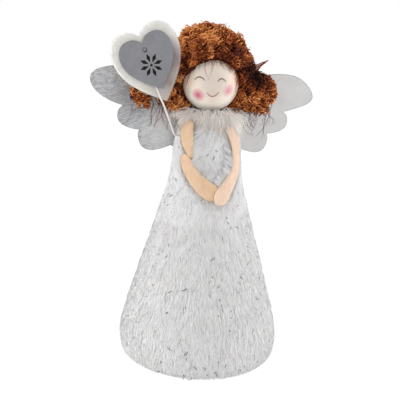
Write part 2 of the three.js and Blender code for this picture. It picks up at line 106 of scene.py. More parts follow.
class Finish:
    # the nodes of a material or of the world: fixed settings go on the shader's own sockets, the rest
    # comes from node(); slot is not used

    def __init__(self, name, slot=None, fixed=None, holder=None, shader="Principled BSDF"):
        self.slot, self.material = slot, holder or bpy.data.materials.new(name)
        self.material.use_nodes = True
        self.nodes, self.links = self.material.node_tree.nodes, self.material.node_tree.links
        self.shader = self.nodes[shader]
        for socket, value in (fixed or {}).items():
            self.shader.inputs[socket].default_value = value

    def node(self, kind, settings, sockets, out=0):
        made = self.nodes.new("ShaderNode" + kind)
        for name, value in settings.items():
            if name == "stops":
                ramp = made.color_ramp.elements
                while len(ramp) < len(value):
                    ramp.new(0.5)
                for stop, (position, color) in zip(ramp, value):
                    stop.position, stop.color = position, color
            else:
                setattr(made, name, value)
        for name, value in sockets.items():
            if isinstance(value, Value):
                self.links.new(value.socket, made.inputs[name])
            else:
                made.inputs[name].default_value = value
        return Value(self, made.outputs[out])

    def place(self, offset=(0, 0, 0), turn=(0, 0, 0), scale=(1, 1, 1)):
        # Object coordinates, moved (in mm), turned and stretched
        own = self.node("TexCoord", {}, {}, "Object")
        settings = {"Location": [value * mm for value in offset], "Rotation": turn, "Scale": scale}
        return self.node("Mapping", {"vector_type": "TEXTURE"}, {"Vector": own, **settings})

    def noise(self, size, detail=2.0, rough=0.5, where=None):
        # soft random patches, about size metres across
        sockets = {"Vector": where or self.place(), "Scale": 1 / size, "Detail": detail, "Roughness": rough}
        return self.node("TexNoise", {}, sockets)

    def blend(self, factor, first, second):
        # colours mixed by a factor
        settings = {"data_type": "RGBA", "clamp_factor": True}
        return self.node("Mix", settings, {0: factor, 6: first, 7: second}, 2)

    def ramp(self, value, low, high):
        # 0 below low, 1 above high, smooth between
        sockets = {"Value": value, "From Min": low, "From Max": high}
        return self.node("MapRange", {"interpolation_type": "SMOOTHSTEP"}, sockets)

    def away(self, where, centre):
        # distance in metres from a centre given in mm
        sockets = {0: where, 1: [value * mm for value in centre]}
        return self.node("VectorMath", {"operation": "DISTANCE"}, sockets, "Value")

    def patched(self, color, patches, where=None):
        # soft round patches of other colours (middle, width, power, strength, colour), each with the
        # share strength * (1 - distance / width) ** power
        for centre, wide, power, strength, other in patches:
            near = (1 - self.away(where or self.place(), centre) / (wide * mm)).high(0) ** power
            color = self.blend(near * strength, color, other)
        return color

    def tone(self, name="tone"):
        return self.node("Attribute", {"attribute_name": name}, {}, "Fac")

    def seen(self):
        # 1 for what the camera sees, straight, in a gloss or through glass, and 0 for light
        straight, gloss, glass = (self.node("LightPath", {}, {}, f"Is {kind} Ray")
                                  for kind in ("Camera", "Glossy", "Transmission"))
        return straight.high(gloss).high(glass)

    def give(self, **sockets):
        names = {"color": "Base Color", "rough": "Roughness"}
        for name, value in sockets.items():
            self.links.new(value.socket, self.shader.inputs[names[name]])
        return self

    def bump(self, height, depth):
        # relief, depth metres deep where height goes from 0 to 1
        normal = self.node("Bump", {}, {"Strength": 1.0, "Distance": depth, "Height": height}, "Normal")
        self.links.new(normal.socket, self.shader.inputs["Normal"])
        return self


# meshes

def makePiece(name, vertices, faces, finish, tones=None, normals=None):
    # vertices (n, 3) in metres; faces is a list of index arrays, each (m, corners)
    mesh = bpy.data.meshes.new(name)
    counts = np.concatenate([np.full(len(part), part.shape[1]) for part in faces])
    corners = np.concatenate([part.ravel() for part in faces])
    starts = np.concatenate([[0], np.cumsum(counts)[:-1]])
    mesh.vertices.add(len(vertices))
    mesh.loops.add(len(corners))
    mesh.polygons.add(len(counts))
    mesh.vertices.foreach_set("co", np.asarray(vertices, np.float32).ravel())
    mesh.loops.foreach_set("vertex_index", corners.astype(np.int32))
    mesh.polygons.foreach_set("loop_start", starts.astype(np.int32))
    mesh.polygons.foreach_set("loop_total", counts.astype(np.int32))
    mesh.polygons.foreach_set("use_smooth", np.full(len(counts), True))
    if tones is not None:
        attribute = mesh.attributes.new("tone", "FLOAT", "POINT")
        attribute.data.foreach_set("value", np.asarray(tones, np.float32).ravel())
    mesh.update(calc_edges=True)
    mesh.validate()
    if normals is not None:
        mesh.normals_split_custom_set_from_vertices(normals)
    mesh.materials.append(finish.material)
    piece = addObject(name, mesh)
    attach(piece, root)
    return piece


def makeClosed(name, skin, finish, tones=None):
    # a closed piece from its vertices and faces, which are all turned outwards
    piece = makePiece(name, *skin, finish, tones)
    shell = bmesh.new()
    shell.from_mesh(piece.data)
    bmesh.ops.recalc_face_normals(shell, faces=shell.faces)
    shell.to_mesh(piece.data)
    shell.free()
    return piece


def unit(vectors):
    return vectors / np.maximum(np.linalg.norm(vectors, axis=-1, keepdims=True), 1e-12)


def bell(away, wide):
    # 1 at no distance, and near 0 from twice the width on
    return np.exp(-(away / wide) ** 2)


def aroundZ(radius, angle, height):
    # x = r sin a, y = -r cos a, z = h: angle 0 is at the front
    parts = radius * np.sin(angle), -radius * np.cos(angle), height
    return np.stack(np.broadcast_arrays(*parts), -1)


def roundSteps(count):
    return np.arange(count) / count * fullTurn


def gridFaces(rows, columns):
    # quads of a grid whose columns close on themselves
    row, column = np.meshgrid(np.arange(rows - 1), np.arange(columns), indexing="ij")
    after = (column + 1) % columns
    quads = [row * columns + column, row * columns + after,
             (row + 1) * columns + after, (row + 1) * columns + column]
    return np.stack(quads, -1).reshape(-1, 4)


def turned(profile, steps):
    # a profile of (radius, height) turned about Z
    profile = np.asarray(profile, float)
    return aroundZ(profile[:, :1], roundSteps(steps), profile[:, 1:])


def closedRing(name, profile, steps, finish):
    # a profile that closes on itself, turned into a ring
    grid = turned(profile, steps)
    faces = gridFaces(len(grid) + 1, steps) % (len(grid) * steps)
    return makeClosed(name, (grid.reshape(-1, 3), [faces]), finish)


def swept(path, across, outward, section):
    # point[i, j] = path[i] + across[i] * section[i, j, 0] + outward[i] * section[i, j, 1]
    return (path[:, None] + across[:, None] * section[..., :1]
            + outward[:, None] * section[..., 1:])


def closedSkin(grid):
    # vertices and faces of a tube of rings, with a fan at each end
    rows, columns = grid.shape[:2]
    vertices = np.concatenate([grid.reshape(-1, 3), [grid[0].mean(0), grid[-1].mean(0)]])
    column = np.arange(columns)
    after = (column + 1) % columns
    first, base = rows * columns, (rows - 1) * columns
    fans = np.concatenate([
        np.stack([np.full(columns, first), after, column], -1),
        np.stack([np.full(columns, first + 1), base + column, base + after], -1),
    ])
    return vertices, [gridFaces(rows, columns), fans]


def strands(name, paths, widths, tones, finish, flat=1.0, outward=(0.31, 0.22, 0.93), soft=0):
    # many thin three-sided strands, each ending in a point, with one side turned outwards
    # soft is how far a strand is shaded as the pile's surface and not as a round thread
    # paths (n, k, 3), widths (n, k) and tones (n, k); the last place is the tip
    count, steps = paths.shape[:2]
    along = unit(np.gradient(paths, axis=1))
    side = unit(np.cross(along, outward))
    up = np.cross(side, along)[:, :-1, None]
    side, turn = side[:, :-1, None], np.array([0.5, 2.6, 4.7])[:, None]
    rings = paths[:, :-1, None] + widths[:, :-1, None, None] * (
        side * np.cos(turn) + up * np.sin(turn) * flat)
    vertices = np.concatenate([rings.reshape(count, -1, 3), paths[:, -1:]], 1).reshape(-1, 3)
    tones = np.concatenate([np.repeat(tones[:, :-1], 3, 1), tones[:, -1:]], 1)
    last, corner = (steps - 2) * 3, np.arange(3)
    a = np.arange(0, last, 3)[:, None] + corner
    b = np.arange(0, last, 3)[:, None] + (corner + 1) % 3
    low, high = np.stack([b, a, b + 3], -1), np.stack([b + 3, a, a + 3], -1)
    tip = np.stack([last + (corner + 1) % 3, last + corner, np.full(3, last + 3)], -1)
    one = np.concatenate([[[0, 1, 2]], low.reshape(-1, 3), high.reshape(-1, 3), tip])
    faces = [(np.arange(count)[:, None, None] * (last + 4) + one).reshape(-1, 3)]
    if not soft:
        return makePiece(name, vertices, faces, finish, tones)
    pile = unit(outward)
    thread = unit(side * np.cos(turn) + up * np.sin(turn))
    normals = unit(pile[:, :-1, None] * soft + thread * (1 - soft)).reshape(count, -1, 3)
    normals = np.concatenate([normals, pile[:, -1:]], 1).reshape(-1, 3)
    return makePiece(name, vertices, faces, finish, tones, normals)


# places along a strand, from its root to its tip
threeSteps, fourSteps = np.array([0, 0.5, 1.0]), np.array([0, 0.35, 0.7, 1.0])


def taper(random, count, shares, wide):
    # widths of count strands, in metres: each its own share of wide, and thinner along its length
    return np.array(shares)[None] * (0.6 + 0.7 * random.random((count, 1))) * wide * mm


# finishes of this figure

def makeFur(name, slot, pale, deep):
    # the strand's tone and soft patches between two greys
    finish = Finish(name, slot, {"Roughness": 0.75, "Specular IOR Level": 0.25,
                                 "Sheen Weight": 1.0, "Sheen Roughness": 0.35})
    patch = finish.noise(14 * mm, 3) * 0.35
    return finish.give(color=finish.blend(finish.tone() * 0.85 + patch - 0.05, deep, pale))


def makeTinsel():
    # one silver thread in two colours: near black as a painted dark reflection, and near white as the
    # thread's silver
    finish = Finish("tinsel", "white_fur", {"Metallic": 0.6, "Roughness": 0.4})
    return finish.give(color=finish.blend(finish.tone(), tint(14, 13, 13), tint(252, 252, 252)))


def makeCloth():
    finish = Finish("furBacking", "white_fur", {"Roughness": 0.95, "Specular IOR Level": 0.1})
    weave = finish.noise(0.8 * mm, 2)
    finish.give(color=finish.blend(weave, tint(232, 232, 233), tint(250, 250, 250)))
    return finish.bump(weave, 0.15 * mm)


def makeYarn():
    # the strand's tone and a fine fluff, through four browns
    finish = Finish("yarn", "yarn", {"Roughness": 0.75, "Specular IOR Level": 0.2})
    stops = [(0.0, tint(38, 10, 3)), (0.35, tint(102, 40, 15)),
             (0.7, tint(180, 95, 42)), (1.0, tint(238, 163, 96))]
    fluff = finish.noise(1.1 * mm, 2) * 0.3 - 0.15
    return finish.give(color=finish.node("ValToRGB", {"stops": stops}, {0: finish.tone() + fluff}))


def makeFelt(name, slot, pale, deep, patches=()):
    # pressed fibres: clouds and a fine fleck, with patches of other colours
    finish = Finish(name, slot, {"Roughness": 0.92, "Specular IOR Level": 0.15,
                                 "Sheen Weight": 0.3, "Sheen Roughness": 0.6})
    fibre = finish.noise(0.7 * mm, 3, 0.7)
    color = finish.blend(finish.noise(5 * mm, 4, 0.6) * 0.6 + fibre * 0.4, deep, pale)
    finish.give(color=finish.patched(color, patches))
    return finish.bump(fibre, 0.12 * mm)


def makeSilver(name, pale, deep, weave, turn, shares, patches=()):
    # metal cloth: wavy ribs, a fine fleck, soft wrinkles and crinkles, each with its share, patches of
    # other greys that are painted shade and painted light, and a darker edge of painted shade
    finish = Finish(name, "silver_cloth", {"Metallic": 0.5, "Specular IOR Level": 0.5})
    own = finish.place(turn=(0, math.radians(turn), 0), scale=(mm, mm, mm))
    ribs = finish.node("TexWave", {"bands_direction": "Z"}, {
        "Vector": own, "Scale": 0.27, "Distortion": 3.0, "Detail": 2.0, "Detail Scale": 1.5}, "Fac")
    fleck = finish.ramp(finish.noise(0.9 * mm, 2, 0.6), 0.35, 0.65)
    wrinkle = finish.ramp(finish.noise(12 * mm, 3, 0.55), 0.3, 0.7)
    crinkle = finish.ramp(finish.noise(1.0, 2, 0.6, finish.node("VectorMath", {"operation": "MULTIPLY"}, {
        0: own, 1: (0.28, 0.28, 0.75)})), 0.38, 0.62)
    mix = ribs * shares[0] + fleck * shares[1] + wrinkle * shares[2] + crinkle * shares[3]
    color = finish.patched(finish.blend(mix, deep, pale), patches)
    # painted shade: a darker band along the front's edges, where the panel's edge is in shadow
    color = finish.blend(finish.tone("edge") ** 1.5 * 0.75, color, tint(118, 118, 120))
    finish.give(color=color, rough=mix * 0.12 + 0.4)
    return finish.bump(mix, weave * mm)


def makeGrain(name, rough, size, detail, deep, pale):
    # stretched patches between two colours; size is the grain's in mm
    finish = Finish(name, None, {"Roughness": rough})
    grain = finish.noise(1.0, detail, 0.5, finish.place(scale=[part * mm for part in size]))
    return finish.give(color=finish.blend(grain, deep, pale))


whiteFur = makeFur("whiteFur", "white_fur", tint(251, 250, 250), tint(207, 206, 205))
# the collar's beige is partly painted shade and bounce light from the head, and the shoulder fur's beige
# tint on white fur is painted shade and bounce light under the head
beigeFur = makeFur("beigeFur", "beige_fur", tint(253, 247, 240), tint(204, 190, 177))
paleFur = makeFur("paleFur", "white_fur", tint(253, 247, 241), tint(214, 200, 190))
tinsel = makeTinsel()
furBacking = makeCloth()
yarn = makeYarn()
whiteFelt = makeFelt("whiteFelt", "white_felt", tint(229, 227, 221), tint(214, 211, 205))
# the heart felt's greyer patches are painted shade along its right side and near its point
heartFelt = makeFelt("heartFelt", "white_felt", tint(231, 229, 223), tint(216, 213, 207), [
    ((-31.2, -17.2, 212.4), 17, 1, 1.3, tint(146, 134, 132)),
    ((-33.4, -17.3, 198.0), 15, 1, 1.1, tint(158, 144, 138)),
    ((-35.0, -17.0, 188.7), 9, 1, 0.8, tint(176, 162, 157)),
    ((-43.1, -16.2, 191.6), 11, 1, 0.5, tint(184, 180, 172))])
peachFelt = makeFelt("peachFelt", "peach_felt", tint(246, 218, 196), tint(236, 203, 178))
# the left arm's darker tan copy of the peach felt is painted shade
shadedPeachFelt = makeFelt("shadedPeachFelt", "peach_felt", tint(235, 204, 172), tint(222, 186, 151))
# one silver cloth in two copies: the left one's darker greys are painted shade and the right one's paler
# greys painted light, while the weave's direction differs in the cloth itself; on the left a darker patch
# low on the upper feather is painted shade and a paler one near the body painted light
silverLeft = makeSilver("silverLeft", tint(212, 213, 215), tint(118, 120, 124), 0.12, -16,
                        (0.35, 0.2, 0.15, 0.3), [
                            ((-62, 32, 183), 21, 0.8, 0.55, tint(104, 105, 108)),
                            ((-21, 27, 165), 27, 0.8, 0.85, tint(232, 231, 230))])
silverRight = makeSilver("silverRight", tint(209, 208, 207), tint(191, 190, 189), 0.03, 20,
                         (0.2, 0.3, 0.4, 0.1))
card = makeGrain("card", 0.9, (6, 6, 0.7), 4.0, tint(166, 138, 104), tint(196, 168, 132))
bareWood = makeGrain("bareWood", 0.75, (1.2, 1.2, 20), 5.0, tint(186, 150, 108), tint(222, 192, 152))
print("finishes made")


# body of fur

body = {
    "heights": [0, 2, 15, 22, 34, 47, 59, 71.5, 84, 96, 108, 120, 132, 144, 154, 161, 166, 170, 173, 174.2],
    "radii": [57.5, 59.6, 60.2, 58.9, 55.9, 51.8, 48.1, 44.5, 40.5, 36.9, 33.4, 29.6,
              26.6, 25.2, 24.9, 23.9, 21.8, 18.6, 14.5, 11.5],
    "pile": 2.3, "foot": (4.6, 0.9), "lowest": 0.15, "hem": 0.2, "neck": 4.3, "top": 174, "shelf": 168.4,
    "coneFoot": 54.5, "coneTop": 11.5, "coneBase": 2.1, "coneHeight": 166, "card": 1.2,
    "lapLow": 104, "lapHigh": 114, "fabric": 1.8, "turnIn": 13, "gap": 0.3,
}


def coneRadius(height):
    share = (height - body["coneBase"]) / body["coneHeight"]
    return body["coneFoot"] + (body["coneTop"] - body["coneFoot"]) * share


def alongLine(at, length, values):
    return np.stack([np.interp(at, length, values[:, axis]) for axis in (0, 1)], -1)


def pileLine():
    # the cloth's outer line from the neck down and under the hem, evenly spaced along its length:
    # the smoothed outline less the pile along its normal
    height = np.linspace(body["heights"][-1], 0, 400)
    radius = np.interp(height, body["heights"], body["radii"])
    radius = np.convolve(np.pad(radius, 12, mode="edge"), np.ones(25) / 25, "valid")
    under = np.linspace(0, 1, 30)[1:]
    line = np.stack([np.concatenate([radius, radius[-1] - 5 * under]),
                     np.concatenate([height, 0 * under])], -1)
    slope = unit(np.gradient(line, axis=0))
    outward = np.stack([-slope[:, 1], slope[:, 0]], -1)
    cloth = np.maximum(line - outward * body["pile"], body["foot"])
    length = np.concatenate([[0], np.cumsum(np.linalg.norm(np.diff(cloth, axis=0), axis=1))])
    even = np.linspace(0, length[-1], 600)
    return even, alongLine(even, length, cloth), unit(alongLine(even, length, outward))


lineLength, lineCloth, lineOut = pileLine()


def clothRadius(along):
    return np.interp(along, lineLength, lineCloth[:, 0])


def onCloth(along, angle, lift):
    # place = cloth line at that length, turned to the angle, lifted by lift along its normal
    place = (alongLine(along, lineLength, lineCloth)
             + lift[..., None] * alongLine(along, lineLength, lineOut))
    return aroundZ(place[..., 0], angle, np.maximum(place[..., 1], body["lowest"])) * mm


def lengthAt(height):
    # length down the cloth line at a height; the line's heights fall with length
    return np.interp(-np.asarray(height, float), -lineCloth[:, 1], lineLength)


def areaSpread(random, low, high, count):
    # lengths down the line, as many per square millimetre at each radius
    sample = np.linspace(low, high, 500)
    weight = np.cumsum(clothRadius(sample))
    return np.interp(random.random(count), weight / weight[-1], sample)


def awayFromAxis(paths):
    # the level direction away from Z at each place, raised a little
    return unit(unit(paths * [1, 1, 0]) + [0, 0, 0.22])


def towardsFront(paths, share=1.0):
    # that direction, turned by its share towards the side that the face looks to
    return unit(awayFromAxis(paths) + share * np.array([-0.15, -0.8, 0]))


# rowStep, columnStep and many spread the tufts over a table of random numbers;
# talls is the share of strands that stand out, and taller is by how much
tufts = {"rowStep": 7919, "columnStep": 104729, "many": 65521, "talls": 0.03, "taller": 0.4}


def combedFur(name, seed, low, high, settings):
    # each strand: p(t) = cloth(s + L t, a + sway t) + normal * pile * lift(t), for t = 0, 0.5, 1
    # strands of one tuft share their lean, and their tips draw together
    random, count = np.random.default_rng(seed), settings["count"]
    along = areaSpread(random, low, high, count)
    angle = random.random(count) * fullTurn
    row = np.floor(along / settings["tuftLong"] + 0.5 * random.random(count)).astype(int)
    around = clothRadius(row * settings["tuftLong"]) * fullTurn / settings["tuftWide"]
    around = np.maximum(around.astype(int), 6)
    column = np.floor(angle / fullTurn * around + 0.35 * random.random(count)).astype(int)
    key = (row * tufts["rowStep"] + column * tufts["columnStep"]) % tufts["many"]
    table = np.random.default_rng(seed + 1).random((tufts["many"], 5))[key]
    long = settings["long"] * (0.7 + 0.35 * table[:, 2] + 0.25 * random.random(count))
    drawn = ((column + 0.2 + 0.6 * table[:, 0]) / around * fullTurn - angle + np.pi) % fullTurn - np.pi
    lean = (table[:, 1] - 0.5) * settings["lean"] + (random.random(count) - 0.5) * settings["stray"]
    sway = np.clip(drawn, -0.2, 0.2) * settings["draw"] + lean * long / clothRadius(along)
    height = 0.65 + 0.2 * table[:, 3] + 0.2 * random.random(count)
    height *= 1 + (random.random(count) < tufts["talls"]) * tufts["taller"]
    steps = threeSteps
    paths = onCloth(along[:, None] + long[:, None] * steps, angle[:, None] + sway[:, None] * steps ** 1.3,
                    np.array([-0.05, 0.75, 1.0])[None] * (height * settings["pile"])[:, None])
    width = settings["wide"] * (0.75 + 0.5 * random.random(count))
    shade = settings["shade"] + 0.3 * table[:, 4] + 0.4 * random.random(count)
    # painted shade: each strand's tone is lower at its root, deep in the pile, by the "dark" setting, and
    # higher at its tip
    return strands(name, paths, width[:, None] * np.array([0.9, 1.0, 0]) * mm,
                   shade[:, None] * np.array([settings["dark"], 0.95, 1.1]), whiteFur, settings["flat"],
                   towardsFront(paths, settings["front"]), settings["soft"])


# painted shade and light: the skirt's lower "shade" start darkens its fur and the bodice's higher one
# lightens its fur, both one white fur
skirtFur = {"count": 19000, "long": 12, "wide": 0.22, "pile": 2.2, "tuftLong": 7.0, "tuftWide": 3.0,
            "lean": 0.5, "stray": 0.5, "draw": 0.45, "flat": 0.8, "soft": 0.5, "dark": 0.45,
            "front": 0.2, "shade": 0.17}
bodiceFur = {"count": 19500, "long": 9, "wide": 0.2, "pile": 2.3, "tuftLong": 5.0, "tuftWide": 2.2,
             "lean": 0.9, "stray": 1.0, "draw": 0.7, "flat": 0.9, "soft": 0.55, "dark": 0.15,
             "front": 0.5, "shade": 0.38}


def makeSkirt():
    # the cloth from its lap under the bodice down, in under the hem and up inside the cone
    outer = alongLine(lengthAt(np.linspace(body["lapHigh"], 1.0, 60)), lineLength, lineCloth)
    fabric, gap, turnTop = body["fabric"], body["gap"], body["coneBase"] + body["turnIn"]
    inner = coneRadius(turnTop) - body["card"] - gap
    base = coneRadius(fabric) - body["card"] - gap
    profile = np.concatenate([outer, [
        [body["coneFoot"], body["hem"]], [base - fabric / 2, body["hem"]],
        [base - fabric, fabric], [inner - fabric, turnTop],
        [inner, turnTop], [base, fabric], [coneRadius(fabric) + gap, fabric],
        [coneRadius(body["lapHigh"]) + gap, body["lapHigh"]],
    ]])[::-1]
    cloth = closedRing("skirt_cloth", profile * mm, 128, furBacking)
    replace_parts(cloth, "fur_skirt")
    low, high = lengthAt(118), lineLength[-1] - 3
    return cloth, [combedFur(f"skirt_fur_{part + 1}", 11 + part * 10, low, high, skirtFur)
                   for part in range(3)]


def makeBodice():
    # the cloth from the neck down over the skirt's upper edge and up along the cone
    low, high, neck = body["lapLow"] + 0.5, body["lapHigh"] + 0.5, body["neck"]
    outer = alongLine(lengthAt(np.linspace(body["top"], low, 60)), lineLength, lineCloth)
    outer[:, 0] += 0.5
    profile = np.concatenate([[[neck, body["top"]]], outer, [
        [outer[-1, 0] - 1.5, low],
        [outer[-1, 0] - 3.4, high],
        [coneRadius(body["lapHigh"]) + body["gap"], high],
        [coneRadius(body["coneBase"] + body["coneHeight"]) + body["gap"], body["shelf"]],
        [neck, body["shelf"]],
    ]])[::-1]
    cloth = closedRing("bodice_cloth", profile * mm, 96, furBacking)
    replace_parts(cloth, "fur_bodice")
    return cloth, [combedFur("bodice_fur", 71, lengthAt(173.8), lengthAt(106), bodiceFur)]


tinselThreads = {"wide": 0.2, "flat": 0.4, "pale": 0.35}


def makeTinselStrands(name, seed, low, high, count):
    # short flat threads that stand up from the pile; "pale" is the share of pale ones, and the rest are
    # dark as a painted dark reflection
    random = np.random.default_rng(seed)
    along = areaSpread(random, low, high, count)
    angle = random.random(count) * fullTurn
    long = 0.8 + 1.9 * random.random(count) ** 1.5
    sway = (random.random(count) - 0.5) * 3.2 * long / clothRadius(along)
    lift = np.array([0.9, 1.15, 1.3, 1.3])[None] * (1.5 + 0.9 * random.random(count))[:, None]
    paths = onCloth(along[:, None] + long[:, None] * fourSteps,
                    angle[:, None] + sway[:, None] * fourSteps, lift)
    tones = np.repeat((random.random(count) < tinselThreads["pale"])[:, None] * 1.0, 4, 1)
    widths = np.full((count, 4), tinselThreads["wide"] * mm)
    return strands(name, paths, widths, tones, tinsel, tinselThreads["flat"], awayFromAxis(paths))


skirtCloth, skirtPile = makeSkirt()
bodiceCloth, bodicePile = makeBodice()
skirtPile.append(makeTinselStrands("skirt_tinsel", 5, lengthAt(116), lineLength[-1] - 8, 420))
bodicePile.append(makeTinselStrands("bodice_tinsel", 6, lengthAt(172), lengthAt(112), 80))
print("fur made")


# neck ring

collar = {"low": 174.3, "rows": [(4.3, 0), (8.6, 0), (9.4, 1.6), (9.4, 3.4), (9.0, 4.6),
                                 (8.2, 5.2), (6.6, 4.6), (4.3, 4.4)],
          "count": 6500, "long": 7.0, "wide": 0.23, "steepest": 45, "slopes": 112, "from": (8.0, 174.8),
          "rise": 3.4, "droop": 0.25, "floor": (12, 170.0, 0.9)}


def makeCollar():
    # each strand leaves the ring at its own slope: radius r + long s cos(slope),
    # height z + long s sin(slope) - droop long s ** 2, and not below a cone over the shoulders
    ring = closedRing("collar_cloth", (np.array(collar["rows"]) + [0, collar["low"]]) * mm, 64, beigeFur)
    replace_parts(ring, "fur_collar")
    random = np.random.default_rng(31)
    count = collar["count"]
    angle, rise, own, tone = random.random((4, count, 1))
    long = collar["long"] * (0.35 + 0.85 * random.random((count, 1)))
    slope = np.radians(collar["steepest"] - collar["slopes"] * own)
    steps, (first, low), (far, floor, fall) = fourSteps, collar["from"], collar["floor"]
    radius = first + 0.6 * np.sin(np.pi * rise) + long * steps * np.cos(slope)
    height = low + collar["rise"] * rise + long * (steps * np.sin(slope) - collar["droop"] * steps ** 2)
    bend = (random.random((count, 1)) - 0.5) * 1.3 * long / 12
    turn = angle * fullTurn + bend * steps + 0.02 * np.sin(steps * 9 + tone * 6)
    height = np.maximum(height, floor - fall * np.maximum(radius - far, 0))
    paths = aroundZ(radius, turn, height) * mm
    # painted shade: each strand is darker towards its root
    return ring, strands("collar_fur", paths, taper(random, count, [1.0, 1.0, 0.8, 0], collar["wide"]),
                         (0.2 + 0.8 * tone) * np.array([0.6, 0.9, 1.0, 1.0]), beigeFur, 0.9,
                         towardsFront(paths), 0.65)


# armAt is the place of the arm, in degrees, over which more strands lie
shoulders = {"count": 5200, "over": 1300, "armAt": 33, "armWide": (0.3, 0.4), "reach": 8.5, "drop": 8.0,
             "from": 9.5, "band": 5.5, "top": 179.0, "slope": 0.45, "thick": 2.4}


def makeShoulders():
    # white strands from under the neck ring out over the shoulders and the tops of the arms:
    # radius r + reach long s, height z + rise long s (1 - s) - drop long s ** 1.5
    random = np.random.default_rng(32)
    count, arm = shoulders["count"] + shoulders["over"], math.radians(shoulders["armAt"])
    angle = random.random((count, 1)) * fullTurn
    angle[shoulders["count"]:] = arm + shoulders["armWide"][0] * random.normal(size=(shoulders["over"], 1))
    long = 0.25 + 0.95 * random.random((count, 1)) ** 1.3
    over = bell(angle - arm, shoulders["armWide"][1])
    steps = np.array([0, 0.3, 0.65, 1.0])
    first = shoulders["from"] + shoulders["band"] * random.random((count, 1))
    aside = (random.random((count, 1)) < 0.3) * np.abs(np.sin(angle)) ** 3
    radius = first + steps * long * (shoulders["reach"] + 4 * over + 8 * aside)
    rise = 3 + 20 * random.random((count, 1)) ** 3
    height = (shoulders["top"] - (first - shoulders["from"]) * shoulders["slope"]
              - shoulders["thick"] * random.random((count, 1)))
    height = height + steps * (1 - steps) * rise * long
    drop = shoulders["drop"] * (0.3 + 1.5 * random.random((count, 1))) * (1 - 0.75 * aside)
    height = height - steps ** 1.5 * long * (drop + 5 * over)
    turn = angle + steps * (random.random((count, 1)) - 0.5) * 1.1
    paths = aroundZ(radius, turn, height) * mm
    widths = taper(random, count, [0.2, 0.18, 0.15, 0], 1)
    # painted shade: each strand is darker towards its root
    tones = (0.1 + 1.0 * random.random((count, 1))) * np.array([0.6, 0.9, 1.0, 1.0])
    return strands("shoulder_fur", paths, widths, tones, paleFur, 0.9, towardsFront(paths), 0.75)


collarCloth, collarPile = makeCollar()
bodicePile.append(makeShoulders())


# head

head = {"centre": (0, 0, 199), "radius": 20, "bore": 4.3, "boreTop": 191}
face = {
    "eyeLeft": [(-15.0, -13.2, 1.2), (-12.1, -15.4, 5.6), (-8.8, -17.9, 1.1)],
    "eyeRight": [(-0.6, -20.0, 0.8), (2.6, -19.5, 5.0), (5.8, -19.1, 0.9)],
    "mouth": [(-7.0, -17.5, -6.6), (-2.8, -16.4, -11.6), (1.2, -19.0, -6.0)],
    "lineWide": 0.8,
    "nose": (-2.0, -19.4, 0.0),
    # temples, jaw and cheeks: middle, width, power, strength and colour
    "patches": [((-18.6, -7.5, 1.0), 9, 0.8, 0.45, tint(226, 180, 146)),
                ((13.3, -14.9, 1.5), 9, 0.8, 0.6, tint(226, 172, 146)),
                ((16.0, -10.5, -7.0), 8, 0.8, 0.5, tint(228, 184, 160)),
                ((-12.05, -13.3, -8.8), 5.4, 0.9, 1.12, tint(206, 94, 128)),
                ((8.2, -17.6, -4.9), 5.2, 1.0, 0.95, tint(210, 122, 140)),
                ((10.2, -16.6, -2.6), 3.6, 1.2, 0.45, tint(212, 132, 148))],
}


def makeSkinPaint():
    # a cloudy skin colour with painted light that makes it paler with the distance from the nose, against
    # the shade towards the ball's edge, and the patches
    finish = Finish("skinPaint", "painted_wood", {
        "Roughness": 0.5, "Specular IOR Level": 0.35, "Subsurface Weight": 0.7,
        "Subsurface Radius": (1, 0.9, 0.8), "Subsurface Scale": 13 * mm,
        "Sheen Weight": 0.5, "Sheen Roughness": 0.5})
    where = finish.place(offset=head["centre"])
    skin = finish.blend(finish.noise(9 * mm, 3), tint(211, 198, 187), tint(218, 206, 196))
    # painted light: the skin grows paler towards the ball's edge, where it turns into shade
    rim = finish.ramp(finish.away(where, face["nose"]), 4 * mm, 20 * mm)
    skin = finish.blend(rim, skin, tint(255, 240, 224))
    finish.give(color=finish.patched(skin, face["patches"], where))
    return finish.bump(finish.noise(3 * mm, 3), 0.05 * mm)


def makeHead():
    # a ball with a bore from below
    centre, radius = head["centre"], head["radius"]
    edge = math.acos(head["bore"] / radius)
    angle = np.linspace(-edge, np.pi / 2, 72)[:-1]
    arc = np.stack([np.cos(angle), np.sin(angle)], -1) * radius + [0, centre[2]]
    profile = np.concatenate([[[head["bore"], head["boreTop"]]], arc])
    vertices, faces = closedSkin(turned(profile * mm, 128))
    vertices[-2:] = [[0, 0, head["boreTop"] * mm], [0, 0, (centre[2] + radius) * mm]]
    ball = makeClosed("ball", (vertices, faces), makeSkinPaint())
    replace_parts(ball, "head_ball")


def makeFaceLine(name, points, finish):
    # a painted line: a quadratic curve through three places, laid on the ball, thinner at its ends
    share = np.linspace(0, 1, 33)[:, None]
    first, middle, last = (np.array(point, float) for point in points)
    outward = unit(first * (1 - share) ** 2 + middle * 2 * share * (1 - share) + last * share ** 2)
    path = outward * (head["radius"] + 0.04) + head["centre"]
    across = unit(np.cross(np.gradient(path, axis=0), outward))
    half = face["lineWide"] / 2 * (0.3 + 0.7 * np.sin(np.pi * share) ** 0.5)
    turn = roundSteps(8)
    section = np.stack([half * np.cos(turn), 0.09 * np.sin(turn) + 0 * half], -1)
    makeClosed(name, closedSkin(swept(path, across, outward, section) * mm), finish)


def makeFace():
    eyes = Finish("eyePaint", "painted_wood", {"Base Color": tint(104, 88, 78), "Roughness": 0.6})
    lips = Finish("mouthPaint", "painted_wood", {"Base Color": tint(168, 104, 88), "Roughness": 0.6})
    makeFaceLine("eye_left", face["eyeLeft"], eyes)
    makeFaceLine("eye_right", face["eyeRight"], eyes)
    makeFaceLine("mouth", face["mouth"], lips)


makeHead()
makeFace()
print("head made")


# fibres on felt

fuzz = {"bend": 0.9, "curl": 0.7, "sunk": 0.1, "widths": (0.07, 0.06, 0), "tone": 0.7, "soft": 0.7}


